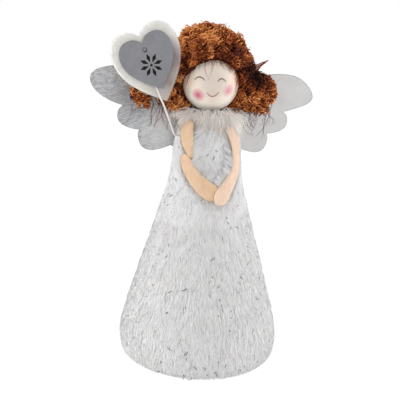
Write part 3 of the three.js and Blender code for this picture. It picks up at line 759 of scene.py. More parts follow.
def feltFuzz(name, piece, seed, count, long, finish):
    # short fibres all over a felt piece: p(s) = start + long s (normal + bend + curl s)
    mesh = piece.data
    mesh.calc_loop_triangles()
    corners = np.empty(len(mesh.loop_triangles) * 3, np.int32)
    mesh.loop_triangles.foreach_get("vertices", corners)
    places = np.empty(len(mesh.vertices) * 3, np.float32)
    mesh.vertices.foreach_get("co", places)
    triangles = places.reshape(-1, 3)[corners.reshape(-1, 3)].astype(float) / mm
    normals = np.cross(triangles[:, 1] - triangles[:, 0], triangles[:, 2] - triangles[:, 0])
    random = np.random.default_rng(seed)
    area = np.cumsum(np.linalg.norm(normals, axis=1))
    chosen = np.searchsorted(area, random.random(count) * area[-1])
    weight = random.dirichlet((1, 1, 1), count)[..., None]
    steps = threeSteps[None, :, None]
    normal = unit(normals[chosen])[:, None]
    way = normal + fuzz["bend"] * random.normal(size=(count, 1, 3))
    curl = fuzz["curl"] * random.normal(size=(count, 1, 3))
    lengths = long * (0.4 + 0.8 * random.random((count, 1, 1)))
    start = (triangles[chosen] * weight).sum(1)[:, None] - fuzz["sunk"] * normal
    paths = start + lengths * steps * (unit(way) + curl * steps)
    widths = np.array(fuzz["widths"])[None] * np.ones((count, 1)) * mm
    return strands(name, paths * mm, widths, np.full((count, 3), fuzz["tone"]), finish, 1.0,
                   np.broadcast_to(normal, paths.shape), fuzz["soft"])


# arms

# each row: degrees round the body, height, half width, distance from the axis
arms = {
    "arm_left_upper": [(-57, 172.6, 5.3, 20.2), (-54.5, 169.0, 5.5, 22.8), (-50.5, 163.8, 5.3, 25.2),
                       (-46.6, 159.0, 4.9, 26.0), (-43.4, 155.2, 4.0, 26.5), (-40.5, 151.6, 2.8, 26.7),
                       (-37.0, 147.6, 1.5, 26.6)],
    "arm_left": [(-49.2, 150.3, 3.2, 26.9), (-46.8, 146.2, 4.2, 27.4), (-41.8, 141.4, 4.6, 27.9),
                 (-34.1, 136.7, 4.9, 28.6), (-23.2, 131.4, 5.5, 29.5), (-11.5, 126.8, 6.0, 30.5),
                 (-3.4, 124.2, 6.0, 31.0), (3.0, 122.2, 4.4, 31.4)],
    "arm_right": [(34.0, 170.6, 4.9, 19.6), (31.6, 166.4, 5.3, 23.6), (31.4, 161.6, 4.6, 26.1),
                  (32.6, 156.1, 3.9, 27.1), (33.6, 149.8, 3.6, 27.6), (33.4, 144.9, 3.8, 27.9),
                  (29.8, 138.8, 3.8, 28.8), (23.2, 134.1, 4.3, 29.7), (15.6, 129.4, 5.0, 31.0),
                  (8.8, 124.9, 5.6, 32.4), (4.2, 120.4, 5.0, 33.4), (2.2, 116.9, 3.4, 33.8)],
}
armThick = 2.4


def smoothRows(rows, steps):
    # a Catmull-Rom curve through the rows, evenly stepped
    rows = np.asarray(rows, float)
    padded = np.concatenate([2 * rows[:1] - rows[1:2], rows, 2 * rows[-1:] - rows[-2:-1]])
    place = np.linspace(0, len(rows) - 1 - 1e-9, steps)
    index = place.astype(int)
    share = (place - index)[:, None]
    a, b, c, d = (padded[index + offset] for offset in range(4))
    return 0.5 * (2 * b + (c - a) * share + (2 * a - 5 * b + 4 * c - d) * share ** 2
                  + (3 * b - 3 * c + d - a) * share ** 3)


def stripLine(rows, steps):
    # the smooth line of a strip: degrees, height, half width and radius at each step, then its places
    # and the directions out of the body and across the strip
    degrees, height, half, radius = smoothRows(rows, steps).T
    angle = np.radians(degrees)
    path = aroundZ(radius, angle, height)
    along, outward = unit(np.gradient(path, axis=0)), aroundZ(1, angle, 0)
    outward = unit(outward - along * (outward * along).sum(1, keepdims=True))
    return degrees, height, half, radius, path, outward, np.cross(along, outward)


def makeArm(name, rows, finish):
    # a felt strip: a flat rounded section carried along the arm's line, round at both ends, and bowed
    # round the body by x ** 2 / (2 radius)
    half, radius, path, outward, across = stripLine(rows, 72)[2:]
    length = np.concatenate([[0], np.cumsum(np.linalg.norm(np.diff(path, axis=0), axis=1))])
    toEnd = np.minimum(length, length[-1] - length) / half
    ease = np.sqrt(np.clip(1 - (1 - np.clip(toEnd, 0, 1)) ** 2, 0.004, 1))
    turn = roundSteps(28)
    wide = np.sign(np.cos(turn)) * np.abs(np.cos(turn)) ** 0.55
    deep = np.sign(np.sin(turn)) * np.abs(np.sin(turn)) ** 0.75
    section = np.stack([(half * ease)[:, None] * wide,
                        armThick / 2 * np.sqrt(ease)[:, None] * deep], -1)
    bow = (section[..., 0] ** 2 / (2 * radius[:, None]))[..., None] * outward[:, None]
    return makeClosed(name, closedSkin((swept(path, across, outward, section) - bow) * mm), finish)


def makeArms():
    upper = makeArm("arm_left_upper", arms["arm_left_upper"], shadedPeachFelt)
    left = makeArm("arm_left_felt", arms["arm_left"], shadedPeachFelt)
    right = makeArm("arm_right_felt", arms["arm_right"], peachFelt)
    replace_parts(left, "arm_left")
    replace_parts(right, "arm_right")
    return [(upper, feltFuzz("arm_left_upper_fuzz", upper, 51, 1800, 1.5, shadedPeachFelt)),
            (left, feltFuzz("arm_left_fuzz", left, 52, 2400, 1.3, shadedPeachFelt)),
            (right, feltFuzz("arm_right_fuzz", right, 53, 3000, 1.3, peachFelt))]


armFur = {"beside": 560, "over": 9, "wide": 0.14, "fadeFrom": 170, "fade": 22}


def makeArmFur():
    # pile strands beside the arms, a few of them lying over the edges:
    # p(s) = middle + across side (half + start - reach s) + outward lift(s) - up drop s
    random = np.random.default_rng(61)
    count, steps = armFur["beside"] + armFur["over"], fourSteps
    over = (np.arange(count) < armFur["over"])[:, None]
    paths = []
    for name, rows in arms.items():
        degrees, height, half, _, path, outward, across = stripLine(rows, 160)
        free = (height > 127) if name == "arm_right" else (degrees < -6)
        free = free * np.clip((armFur["fadeFrom"] - height) / armFur["fade"], 0, 1) ** 2
        chosen = random.choice(len(free), count, p=free / free.sum())
        side = np.where(random.random(count) < 0.5, 1, -1)[:, None, None]
        start = np.where(over, 1.0, 0.8 + 5.0 * random.random((count, 1)) ** 1.4)
        reach = np.where(over, 1.5 + 1.8 * random.random((count, 1)), start - 0.1)
        aside = half[chosen][:, None] + start - reach * steps
        lift = np.where(over, [-1.6, 0.9, 1.5, 1.4], [-3.4, -2.0, -0.6, 0.6])
        lift = lift + 0.3 * random.random((count, 1))
        drop = (1.5 + 4.5 * random.random((count, 1))) * steps
        paths.append(path[chosen][:, None] + across[chosen][:, None] * side * aside[..., None]
                     + outward[chosen][:, None] * lift[..., None] - drop[..., None] * [0, 0, 1])
    paths = np.concatenate(paths) * mm
    widths = taper(random, len(paths), [1, 1, 0.8, 0], armFur["wide"])
    # painted shade: each strand is darker towards its root
    tones = (0.25 + 0.65 * random.random((len(paths), 1))) * np.array([0.8, 0.95, 1.0, 1.0])
    return strands("arm_edge_fur", paths, widths, tones, whiteFur, 0.9, towardsFront(paths), 0.75)


armPieces = makeArms()
bodicePile.append(makeArmFur())
print("arms made")


# wings

def softenEdges(piece, wide, degrees):
    soft = piece.modifiers.new("softEdge", "BEVEL")
    soft.width, soft.segments, soft.limit_method = wide * mm, 2, "ANGLE"
    soft.angle_limit = math.radians(degrees)


def dressedCopy(node, name, finish, bevel, hem=0.0):
    # a merged copy of the panel with soft edges; hem is the width of a band of painted shade along the
    # edges of its front, where the edge is in shadow
    shell = bmesh.new()
    shell.from_mesh(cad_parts[node].data)
    bmesh.ops.remove_doubles(shell, verts=shell.verts, dist=1e-6)
    bmesh.ops.dissolve_limit(shell, angle_limit=math.radians(1), verts=shell.verts, edges=shell.edges)
    edge = shell.verts.layers.float.new("edge")
    if hem:
        front = max(shell.faces, key=lambda face: -face.normal.y * face.calc_area())
        bmesh.ops.inset_region(shell, faces=[front], thickness=hem * mm, use_even_offset=True)
        for vertex in shell.verts:
            vertex[edge] = 1.0
        for vertex in front.verts:
            vertex[edge] = 0.0
    mesh = bpy.data.meshes.new(name)
    shell.to_mesh(mesh)
    shell.free()
    piece = addObject(name, mesh)
    mesh.materials.clear()
    mesh.materials.append(finish.material)
    softenEdges(piece, bevel, 60)
    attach(piece, root)
    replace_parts(piece, node)
    return piece


silverOnLeft = dressedCopy("wing_cover_left", "wing_silver_left", silverLeft, 0.15, 0.7)
silverOnRight = dressedCopy("wing_cover_right", "wing_silver_right", silverRight, 0.15, 0.9)
wingFelt = dressedCopy("wing_backing", "wing_felt", whiteFelt, 0.5)
print("wings made")


# heart

heart = {
    "point": (-34.2, -17.0, 185.4), "turn": -10, "tilt": -26,
    "feltWide": 46, "feltTall": 50.5, "feltThick": 4.0, "feltEdge": 1.7, "notch": 0.105,
    "plateFront": -3.3, "starHeight": 25.4, "starWide": 9.2, "holeHeight": 35.88,
}


def heartPlaces(points):
    # the heart's own place (across, back, up) turned and moved to where it is held
    (cosZ, sinZ), (cosY, sinY) = ((math.cos(math.radians(heart[key])), math.sin(math.radians(heart[key])))
                                  for key in ("turn", "tilt"))
    aboutZ = np.array([[cosZ, -sinZ, 0], [sinZ, cosZ, 0], [0, 0, 1]])
    aboutY = np.array([[cosY, 0, sinY], [0, 1, 0], [-sinY, 0, cosY]])
    return points @ (aboutZ @ aboutY).T + heart["point"]


def heartLine(wide, tall, notch, steps=24):
    # three cubic curves a side, from the notch round the lobe to the point and back
    right = np.array([(0, 1 - notch), (0.12, 0.975), (0.3, 1), (0.48, 1), (0.82, 1), (1, 0.86),
                      (1, 0.69), (1, 0.42), (0.5, 0.2), (0, 0)])
    share = np.linspace(0, 1, steps, endpoint=False)[:, None]
    side = np.concatenate([
        right[start] * (1 - share) ** 3 + 3 * right[start + 1] * share * (1 - share) ** 2
        + 3 * right[start + 2] * share ** 2 * (1 - share) + right[start + 3] * share ** 3
        for start in (0, 3, 6)])
    other = np.concatenate([side[1:], [[0, 0]]])[::-1] * [-1, 1]
    return np.concatenate([side, other]) * [wide / 2, tall]


def makeFeltHeart():
    # rings of the outline, drawn in at the front and back edges:
    # inset(v) = r (1 - sin v), depth(v) = r (1 - cos v)
    outline = heartLine(heart["feltWide"], heart["feltTall"], heart["notch"])
    along = unit(np.roll(outline, -1, 0) - np.roll(outline, 1, 0))
    inward = np.stack([along[:, 1], -along[:, 0]], -1)
    middle = np.array([0, heart["feltTall"] * 0.6])
    inward *= np.sign(((middle - outline) * inward).sum(1).mean())
    edge, thick = heart["feltEdge"], heart["feltThick"]
    turn = np.linspace(0, np.pi / 2, 6)
    inset, depth = edge * (1 - np.sin(turn)), edge * (1 - np.cos(turn))
    rings = outline[None] + inward[None] * np.concatenate([inset, inset[::-1]])[:, None, None]
    fill = np.array([0.85, 0.65, 0.4, 0.15])[:, None, None]
    front, back = middle + (rings[0] - middle) * fill[::-1], middle + (rings[-1] - middle) * fill
    rings = np.concatenate([front, rings, back])
    depth = np.concatenate([np.zeros(4), depth, thick - depth[::-1], np.full(4, thick)])
    grid = np.stack([rings[..., 0], np.broadcast_to(depth[:, None], rings.shape[:2]), rings[..., 1]], -1)
    vertices, faces = closedSkin(grid)
    piece = makeClosed("heart_soft", (heartPlaces(vertices) * mm, faces), heartFelt)
    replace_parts(piece, "heart_felt")
    return piece, feltFuzz("heart_fuzz", piece, 54, 5500, 1.0, heartFelt)


def makePlatePaint():
    # grey paint with a cloudy brush pattern; the cut star shows burnt wood, with painted shade deep in its
    # cuts
    finish = Finish("plateGrey", "grey_wood", {"Roughness": 0.7, "Specular IOR Level": 0.3})
    own = finish.place(heart["point"], (0, math.radians(heart["tilt"]), math.radians(heart["turn"])))
    cloud, speck = finish.noise(6 * mm, 4, 0.65, own), finish.noise(0.8 * mm, 2, 0.6, own)
    grey = finish.blend(cloud * 0.6 + speck * 0.4, tint(108, 109, 114), tint(146, 146, 150))
    front, wide = heart["plateFront"], heart["starWide"]
    depth = finish.node("SeparateXYZ", {}, {0: own}, 1)
    sunk = finish.ramp(depth, (front + 0.25) * mm, (front + 0.5) * mm)
    away = finish.away(own, (0, front, heart["starHeight"]))
    star = 1 - finish.ramp(away, wide * mm, (wide + 0.3) * mm)
    finish.give(color=finish.blend(sunk * star, grey, tint(30, 24, 22)))
    return finish.bump(speck * 0.6 + cloud * 0.4, 0.12 * mm)


def dress(node, finish):
    # a finish on a solid that stays as it is
    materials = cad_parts[node].data.materials
    materials.clear()
    materials.append(finish.material)


def makePlate():
    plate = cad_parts["heart_plate"]
    dress("heart_plate", makePlatePaint())
    plate.modifiers.new("weld", "WELD").merge_threshold = 0.01 * mm
    softenEdges(plate, 0.2, 50)


def makeHoleBack():
    # a grey disc inside the hanging hole as painted shade, with a painted shadow along its lower edge: tone
    # rises with the distance from a place above the middle
    ring = np.array([(1.5, 0.4), (1.5, 0), (1.1, 0), (0.7, 0), (0.3, 0)])
    turn = roundSteps(24)
    across, up = ring[:, :1] * np.cos(turn), ring[:, :1] * np.sin(turn)
    depth = heart["plateFront"] + 0.4 + ring[:, 1:] + 0 * across
    vertices, faces = closedSkin(np.stack([across, depth, up + heart["holeHeight"]], -1))
    away = np.hypot(vertices[:, 0] + 0.1, vertices[:, 2] - heart["holeHeight"] - 0.9)
    finish = Finish("holeGrey", "grey_wood", {"Roughness": 0.8})
    finish.give(color=finish.blend(finish.tone(), tint(128, 128, 132), tint(30, 26, 26)))
    makeClosed("heart_hole_back", (heartPlaces(vertices) * mm, faces), finish,
               np.clip((away - 1.55) / 0.35, 0, 1))


wire = {
    "rows": [(-42.0, -15.9, 195.2), (-40.4, -16.2, 191.6), (-38.7, -16.5, 187.7), (-35.2, -14.0, 181.3),
             (-31.2, -10.5, 173.2), (-28.8, -8.3, 168.1), (-27.1, -7.0, 164.4), (-25.6, -6.0, 162.1),
             (-23.3, -5.0, 161.4), (-20.5, -3.9, 160.4), (-18.0, -3.7, 157.4)],
    "radius": 0.66, "steps": 90, "lump": 0.06,
}


def makeWire():
    # a round wire with a thread wound over it: radius (1 + lump sin(step + turn))
    finish = Finish("whiteWire", "white_wire", {"Roughness": 0.8})
    wound = finish.noise(0.9 * mm, 2)
    finish.give(color=finish.blend(wound, tint(206, 200, 198), tint(240, 236, 233)))
    finish.bump(wound, 0.1 * mm)
    path = smoothRows(wire["rows"], wire["steps"])
    along = unit(np.gradient(path, axis=0))
    side = unit(np.cross(along, [0, 1, 0]))
    turn = roundSteps(10)
    twist = 1 + wire["lump"] * np.sin(np.arange(wire["steps"])[:, None] * 1.9 + turn)
    section = np.stack([np.cos(turn) * twist, np.sin(turn) * twist], -1) * wire["radius"]
    skin = closedSkin(swept(path, side, np.cross(side, along), section) * mm)
    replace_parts(makeClosed("wire_stem", skin, finish), "heart_wire")


heartSoft, heartFuzz = makeFeltHeart()
makePlate()
makeHoleBack()
makeWire()
print("heart made")


# hair

hair = {
    "middle": (0, 3, 200), "blend": 12,
    # middle and half sizes of each bundle that the outline is made of
    "bundles": [
        ((-1, 4, 212), (31, 23.5, 29.2)),
        ((-37, 4, 200.0), (18, 11, 12.7)),
        ((-48.5, 4, 191.5), (6.4, 8, 6.6)),
        ((-24, 4, 192), (12, 10, 11.7)),
        ((22.5, 3, 208), (12.5, 13, 13)),
        ((34.5, 3, 194), (17.3, 14, 14.1)),
        ((18, 3, 188), (10, 9, 9)),
        ((-1, 18, 195), (23, 11, 24.5)),
    ],
    # directions in which the hair falls in to a dark hollow: side, back, up, then width and depth in mm
    "hollows": [((0.80, -0.55, 0.02), 0.2, 3.5), ((0.72, -0.45, 0.42), 0.2, 2.5),
                ((-0.62, -0.7, -0.1), 0.16, 2.0)],
    # the shades are places of painted shade and the glows places of painted light on the curls
    # darker places as the photograph sees them: right, up from the opening's middle, width, strength
    "shades": [(11, 27, 7, 0.55), (-10, 25.5, 6, 0.45), (24, 15, 7, 0.6), (30, 6, 8, 0.7),
               (-26, -8, 6, 0.25), (-22, 15, 6, 0.15), (17, 25, 6, 0.25), (21, -11, 4, 0.2)],
    "glows": [(-16, 37, 9, 0.15), (18, 37, 7, 0.12), (0, 32, 6, 0.12), (43, -7, 8, 0.28),
              (30, -11, 6, 0.15), (-23, 2, 6, 0.5), (-22, -13, 8, 0.3), (-48, -6, 8, 0.35)],
    "pole": (-0.06, 0.16, 1.0),
    "locks": 520, "edgeLocks": 255, "edgeLong": 8, "lockLong": 15, "twist": 1.45, "fibres": 3, "curls": 4,
    "curlRadius": 1.35, "curlWide": 0.37, "turns": 1.5, "steps": 12, "sunk": 2.6, "spread": 4.0,
    "lumps": 1.3, "tails": 110, "frizz": 420, "wisps": 36,
    # starts that are tried, the polar range, the area for one lock and the least reach
    "tried": 40000, "range": 1.94, "lockArea": 7000, "leastReach": 21.5,
    # corner and size of the boxes, at the left and at the right, in which tails and wisps start
    "tailBoxes": [((-46, -3, 185), (30, 11, 5)), ((13, -5, 183), (31, 14, 6))],
    "wispBoxes": [((-53, -3, 184), (36, 8, 5)), ((14, -6, 180), (34, 12, 6))],
    # what a curl may do: share of the opening, less above a height; share of its places in the opening,
    # in the ball and below the lowest height; the front limit at the left; the longest step
    "opening": 0.975, "openingTop": (0.07, 207), "inOpening": 0.2, "inBall": 0.3, "lowest": 171.5,
    "below": 0.2, "leftFront": (-20.5, -10.5), "longestStep": 2.4,
    "faceMiddle": (0, 0, 195), "faceWide": 20.5, "faceTall": 17.8, "faceLow": 22.5,
    "faceLean": 2.5, "faceTurn": -15, "fall": 0.8, "fallWide": 0.4,
}
faceTurn = math.radians(hair["faceTurn"])
faceRight = np.array([math.cos(faceTurn), math.sin(faceTurn), 0])
faceNear = np.array([math.sin(faceTurn), -math.cos(faceTurn), 0])


def hollowDepth(direction):
    # the sum of depth * bell(distance to the hollow's direction)
    depth = 0
    for middle, wide, deep in hair["hollows"]:
        away = np.linalg.norm(direction - unit(np.array(middle, float)), axis=-1)
        depth = depth + deep * bell(away, wide)
    return depth


def hairReach(direction):
    # how far a ray from the hair's middle goes until it leaves the last bundle,
    # R = (sum of R_i ** p) ** (1 / p) so that bundles flow together, less the hollows, plus small lumps
    total = 0
    for middle, half in hair["bundles"]:
        away = (np.array(hair["middle"]) - middle) / half
        along = direction / half
        a = (along ** 2).sum(-1)
        b = (along * away).sum(-1)
        inner = b ** 2 - a * ((away ** 2).sum() - 1)
        leave = (np.sqrt(np.maximum(inner, 0)) - b) / a * (inner > 0)
        total = total + np.maximum(leave, 0) ** hair["blend"]
    reach = np.maximum(total, 1e-9) ** (1 / hair["blend"])
    lumps = (np.sin(direction @ [13.0, 4.0, 9.0] + 1) * np.sin(direction @ [-5.0, 12.0, 8.0])
             + 0.6 * np.sin(direction @ [9.0, -17.0, 14.0] + 2) * np.sin(direction @ [21.0, 3.0, -11.0]))
    return reach - hollowDepth(direction) + hair["lumps"] * lumps


def facePlane(points):
    # places as the photograph sees them: right, up and towards the camera, from the opening's middle
    away = points - hair["faceMiddle"]
    return away @ faceRight, away[..., 2], away @ faceNear


def openingShare(right, up):
    # 1 on the edge of the face opening, an ellipse about the ball's middle that leans to the right
    # and is less tall above: sqrt((right / wide) ** 2 + (rise / tall) ** 2)
    rise = up + hair["faceMiddle"][2] - head["centre"][2]
    aside = right - hair["faceLean"] * np.clip(rise / 12, 0, 1)
    tall = np.where(rise > 0, hair["faceTall"], hair["faceLow"])
    return np.sqrt((aside / hair["faceWide"]) ** 2 + (rise / tall) ** 2)


def faceShare(points):
    # the opening's share in front of the face; large behind it
    right, up, near = facePlane(points)
    return np.where(near > 0, openingShare(right, up), 9)


def slopeIn(points):
    # beside and below the face the hair's front falls back towards the opening's edge:
    # near (1 - fall (1 - s)), s = smooth((share - 1) / fallWide); above the eyes it stays
    right, up, near = facePlane(points)
    ease = np.clip((openingShare(right, up) - 1) / hair["fallWide"], 0, 1)
    fall = hair["fall"] * np.clip((10 - up) / 8, 0, 1) * (1 - ease ** 2 * (3 - 2 * ease))
    return points - (np.maximum(near, 0) * fall)[..., None] * faceNear


def shadeOf(points):
    # painted shade: sum of strength * bell(distance) over the dark places, less that of the bright ones,
    # which are painted light
    right, up, near = facePlane(points)
    places = [(*row, 1) for row in hair["shades"]] + [(*row, -1) for row in hair["glows"]]
    total = sum(way * strength * bell(np.hypot(right - place, up - height), wide)
                for place, height, wide, strength, way in places)
    return total * (near > -12)


def poleDirections(polar, around):
    # unit directions at an angle from the pole and an angle round it
    up = unit(np.array(hair["pole"], float))
    side = unit(np.cross(up, [0, 1, 0]))
    back = np.cross(up, side)
    return (np.cos(polar)[..., None] * up + np.sin(polar)[..., None]
            * (np.cos(around)[..., None] * side + np.sin(around)[..., None] * back))


def onHair(polar, around, sunk):
    direction = poleDirections(polar, around)
    return direction * (hairReach(direction) - sunk)[..., None] + hair["middle"]


def outlineArea(direction, reach):
    # area of the outline for each unit of direction: R ** 2 * sqrt(1 + (slope / R) ** 2)
    side, small = unit(np.cross(direction, [0.3, 0.5, 0.8])), 0.02
    slopes = [(hairReach(unit(direction + way * small)) - reach) / small
              for way in (side, np.cross(direction, side))]
    return reach ** 2 * np.sqrt(1 + (slopes[0] ** 2 + slopes[1] ** 2) / reach ** 2)


def lockStarts(random):
    # starts spread by the outline's area. Gives polar, around and depth under the outline
    many = hair["tried"]
    polar = np.arccos(1 - hair["range"] * random.random(many))
    around = random.random(many) * fullTurn
    depth = hair["spread"] * random.random(many) ** 1.3
    direction = poleDirections(polar, around)
    reach = hairReach(direction)
    wanted = random.random(many) < outlineArea(direction, reach) / hair["lockArea"]
    chosen = np.flatnonzero(wanted & (reach > hair["leastReach"]))[:hair["locks"]]
    return polar[chosen], around[chosen], depth[chosen]


def curlPlaces(random, count, first=0.0):
    # how far along its lock each place of each curl is, where the curls follow one another:
    # number / curls + first + 0.1 own + share (0.3 + 0.12 other)
    own = random.random((2, count, hair["fibres"], hair["curls"], 1))
    begin = np.arange(hair["curls"])[:, None] / hair["curls"] + first + 0.1 * own[0]
    return begin + np.linspace(0, 1, hair["steps"]) * (0.3 + 0.12 * own[1])


def plyTurn(wave, at):
    # each ply of a lock is a third of a turn from the next
    return wave + np.arange(hair["fibres"])[:, None, None] * 2.1 + at * 5


def wind(base, lockTurn, random, outward, tone):
    # curls round their locks: p = base + twist (cos, sin)(lock turn) + radius (cos, sin)(own turn)
    count, fibres, curls, steps = base.shape[:4]
    own = random.random((5, count, fibres, curls, 1))
    share = np.linspace(0, 1, steps)
    along = unit(np.gradient(base, axis=3))
    outward = unit(outward - along * (outward * along).sum(-1, keepdims=True))
    side = np.cross(along, outward)
    turnOwn = own[2] * 6.3 + share * 6.3 * hair["turns"] * (0.7 + 0.6 * own[3])
    radius = hair["curlRadius"] * (0.6 + 0.8 * own[4])

    def ringOf(turn, size):
        return size[..., None] * (np.cos(turn)[..., None] * outward + np.sin(turn)[..., None] * side)

    path = base + ringOf(lockTurn, hair["twist"] + 0 * share) + ringOf(turnOwn, radius + 0 * share)
    # painted light and shade: each curl is lighter where it turns outwards and darker where it turns in
    lift = hair["twist"] * np.cos(lockTurn) + radius * np.cos(turnOwn)
    return path.reshape(-1, steps, 3), (tone + 0.15 * lift + 0.3 * (own[0] - 0.5)).reshape(-1, steps)


def makeLocks(seed):
    # every lock runs down from the pole, wavering: polar = start + long u cos(bend), around likewise;
    # it is painted darker in the depth, beside the face and low down, as painted shade, and lighter high
    # up, as painted light
    random = np.random.default_rng(seed)
    polar, around, depth = lockStarts(random)
    count = len(polar)
    direction = poleDirections(polar, around)
    reach = np.maximum(hairReach(direction), 15)
    long = hair["lockLong"] * (0.7 + 0.6 * random.random(count)) / reach
    free = np.where(direction[:, 2] > 0.35, 2.6, 1.2)
    bend, wave = (random.random(count) - 0.5) * free, random.random(count) * 6.3
    at = curlPlaces(random, count, -0.15)
    polar, around, long, depth, bend, wave = (
        part[:, None, None, None] for part in (polar, around, long, depth, bend, wave))
    spread = np.maximum(np.sin(polar), 0.25)
    polarAt = polar + long * (at - 0.5) * np.cos(bend)
    aroundAt = around + long * ((at - 0.5) * np.sin(bend) + 0.09 * np.sin(wave + at * 7)) / spread
    base = slopeIn(onHair(polarAt, aroundAt, hair["sunk"] + depth))
    light = random.random((count, 1, 1, 1))
    tone = (0.5 + 0.5 * (light - 0.5) - 0.05 * depth + 0.1 * np.clip((base[..., 2] - 212) / 25, -0.6, 1)
            - 0.2 * np.clip(1.3 - faceShare(base), 0, 0.4) - shadeOf(base))
    return wind(base, plyTurn(wave, at), random, unit(base - hair["middle"]), tone)


def hairMass():
    # the hair's inside, which is given a dark tone as painted shade: the outline drawn in, and tucked into
    # the ball where the face shows
    polar = np.linspace(0, np.pi, 92)[1:-1, None] + np.zeros((1, 128))
    around = roundSteps(128)[None] + np.zeros((90, 1))
    points = slopeIn(onHair(polar, around, hair["sunk"] + 1.6))
    fromBall, inside = points - head["centre"], head["radius"] - 0.8
    bare = (faceShare(points) < 1.0) | (np.linalg.norm(fromBall, axis=-1) < inside)
    return np.where(bare[..., None], unit(fromBall) * inside + head["centre"], points)


def makeEdgeLocks(seed):
    # short locks that lie on the wall round the face: p(u) = place + normal + down long (u - 0.5)
    random = np.random.default_rng(seed)
    grid = hairMass()
    corners = [grid[:-1], grid[1:], np.roll(grid, -1, 1)[1:], np.roll(grid, -1, 1)[:-1]]
    middle = sum(corners) / 4
    normal = np.cross(corners[2] - corners[0], corners[3] - corners[1])
    normal *= np.sign((normal * (middle - hair["middle"])).sum(-1, keepdims=True))
    share, far = faceShare(middle), np.linalg.norm(middle - head["centre"], axis=-1)
    wall = (share > 0.96) & (share < 1.7) & (far > head["radius"] - 0.5)
    weight = np.cumsum((np.linalg.norm(normal, axis=-1) * wall).ravel())
    count = hair["edgeLocks"]
    chosen = np.searchsorted(weight, random.random(count) * weight[-1])
    start, up = middle.reshape(-1, 3)[chosen], unit(normal.reshape(-1, 3)[chosen])
    down = np.array([0, 0, -1.0]) + 0.7 * random.normal(size=(count, 3))
    down = unit(down - up * (down * up).sum(-1, keepdims=True))
    at = curlPlaces(random, count)
    start, up, down = (part[:, None, None, None] for part in (start, up, down))
    base = start + up * 1.6 + down * hair["edgeLong"] * (at[..., None] - 0.5)
    wave, light = random.random((count, 1, 1, 1)) * 6.3, random.random((count, 1, 1, 1))
    tone = 0.46 + 0.5 * (light - 0.5) - shadeOf(base)
    return wind(base, plyTurn(wave, at), random, up + 0 * base, tone)


def inBoxes(random, boxes, counts):
    # random places in each box
    return [np.array(corner) + random.random((count, 3)) * size
            for (corner, size), count in zip(boxes, counts)]


def makeTails(seed):
    # locks that hang free below both side bundles: p(u) = start + (lean, lean, -1) long u, bowed out
    random = np.random.default_rng(seed)
    count, fibres, curls = hair["tails"], 2, 3
    left, right = inBoxes(random, hair["tailBoxes"], (count // 2, count - count // 2))
    left[:, 0] = np.where(left[:, 0] < -34, left[:, 0] * 0.7 - 21, left[:, 0])
    start = np.concatenate([left, right])[:, None, None, None]
    own = random.random((2, count, fibres, curls, 1))
    at = np.arange(curls)[:, None] / curls + np.linspace(0, 1, hair["steps"]) * 0.42
    lean = (random.random((count, 2)) - 0.5) * 0.9 + [0.0, -0.1]
    way = np.concatenate([lean, np.full((count, 1), -1.0)], 1)[:, None, None, None]
    long = (2.5 + 3.5 * random.random((count, 1, 1, 1)))[..., None]
    base = start + way * long * at[..., None]
    base = base + np.sin(at * 3 + own[0] * 6)[..., None] * np.array([0.8, 0.5, 0])
    tone = 0.5 + 0.3 * (random.random((count, 1, 1, 1)) - 0.5) - 0.1 * at
    return wind(base, own[1] * 6.3 + at * 5, random, np.array([0.0, -1.0, 0.1]) + 0 * base, tone)


def keepOutside(paths):
    # curls that stand in the face opening, in the ball or in front of the hair's limits are left out
    far = np.linalg.norm(paths - head["centre"], axis=-1)
    (less, above), (leftOf, before) = hair["openingTop"], hair["leftFront"]
    limit = hair["opening"] - less * (paths[..., 2] > above)
    bad = (faceShare(paths) < limit).mean(1) > hair["inOpening"]
    bad |= (far < head["radius"] - 0.5).mean(1) > hair["inBall"]
    bad |= ((paths[..., 1] < before) & (paths[..., 0] < leftOf)).any(1)
    bad |= (paths[..., 2] < hair["lowest"]).mean(1) > hair["below"]
    bad |= np.linalg.norm(np.diff(paths, axis=1), axis=-1).max(1) > hair["longestStep"]
    return ~bad


def bundleOf(paths):
    # which of the four bundles a curl belongs to, by where its middle is
    middle = paths[:, paths.shape[1] // 2]
    crown = middle[:, 2] > 214
    left = ~crown & (middle[:, 0] < -19)
    right = ~crown & (middle[:, 0] > 19)
    return {"crown": crown, "left": left, "right": right, "back": ~(crown | left | right)}


def makeCurls():
    paths, tones = [np.concatenate(part) for part in zip(makeLocks(41), makeEdgeLocks(43), makeTails(42))]
    keep = keepOutside(paths)
    for name, part in bundleOf(paths).items():
        shade = np.clip(tones[keep & part], 0, 1)
        piece = strands(f"hair_{name}_curls", paths[keep & part] * mm,
                        np.full(shade.shape, hair["curlWide"] * mm), shade, yarn)
        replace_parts(piece, "hair_" + name)
        print(f"{name} hair: {len(shade)} curls")


def looseFibres(name, seed, starts, way, long, wave, wide, tone):
    # single fibres: p(s) = start + way * long * s + wave * sin(w s + phase) across, w about 1 to 2 turns
    random = np.random.default_rng(seed)
    count, steps = len(starts), 9
    share = np.linspace(0, 1, steps)[None, :, None]
    lengths = long * (0.5 + random.random((count, 1, 1)))
    phase = random.random((2, count, 1, 1)) * 6.3
    turns = 4 + 6 * random.random((2, count, 1, 1))
    side = unit(np.cross(way, random.normal(size=(count, 3))))[:, None]
    other = np.cross(side, way[:, None])
    paths = (starts[:, None] + way[:, None] * lengths * share
             + wave * share * (side * np.sin(phase[0] + turns[0] * share)
                               + other * np.sin(phase[1] + turns[1] * share)))
    tones = np.clip(tone + 0.25 * (random.random((count, 1)) - 0.5), 0, 1) * np.ones((1, steps))
    far = np.linalg.norm(paths - head["centre"], axis=-1)
    keep = (far > head["radius"] + 0.3).all(1) & (faceShare(paths) > 1).all(1)
    strands(name, paths[keep] * mm, np.full(tones[keep].shape, wide * mm), tones[keep], yarn)


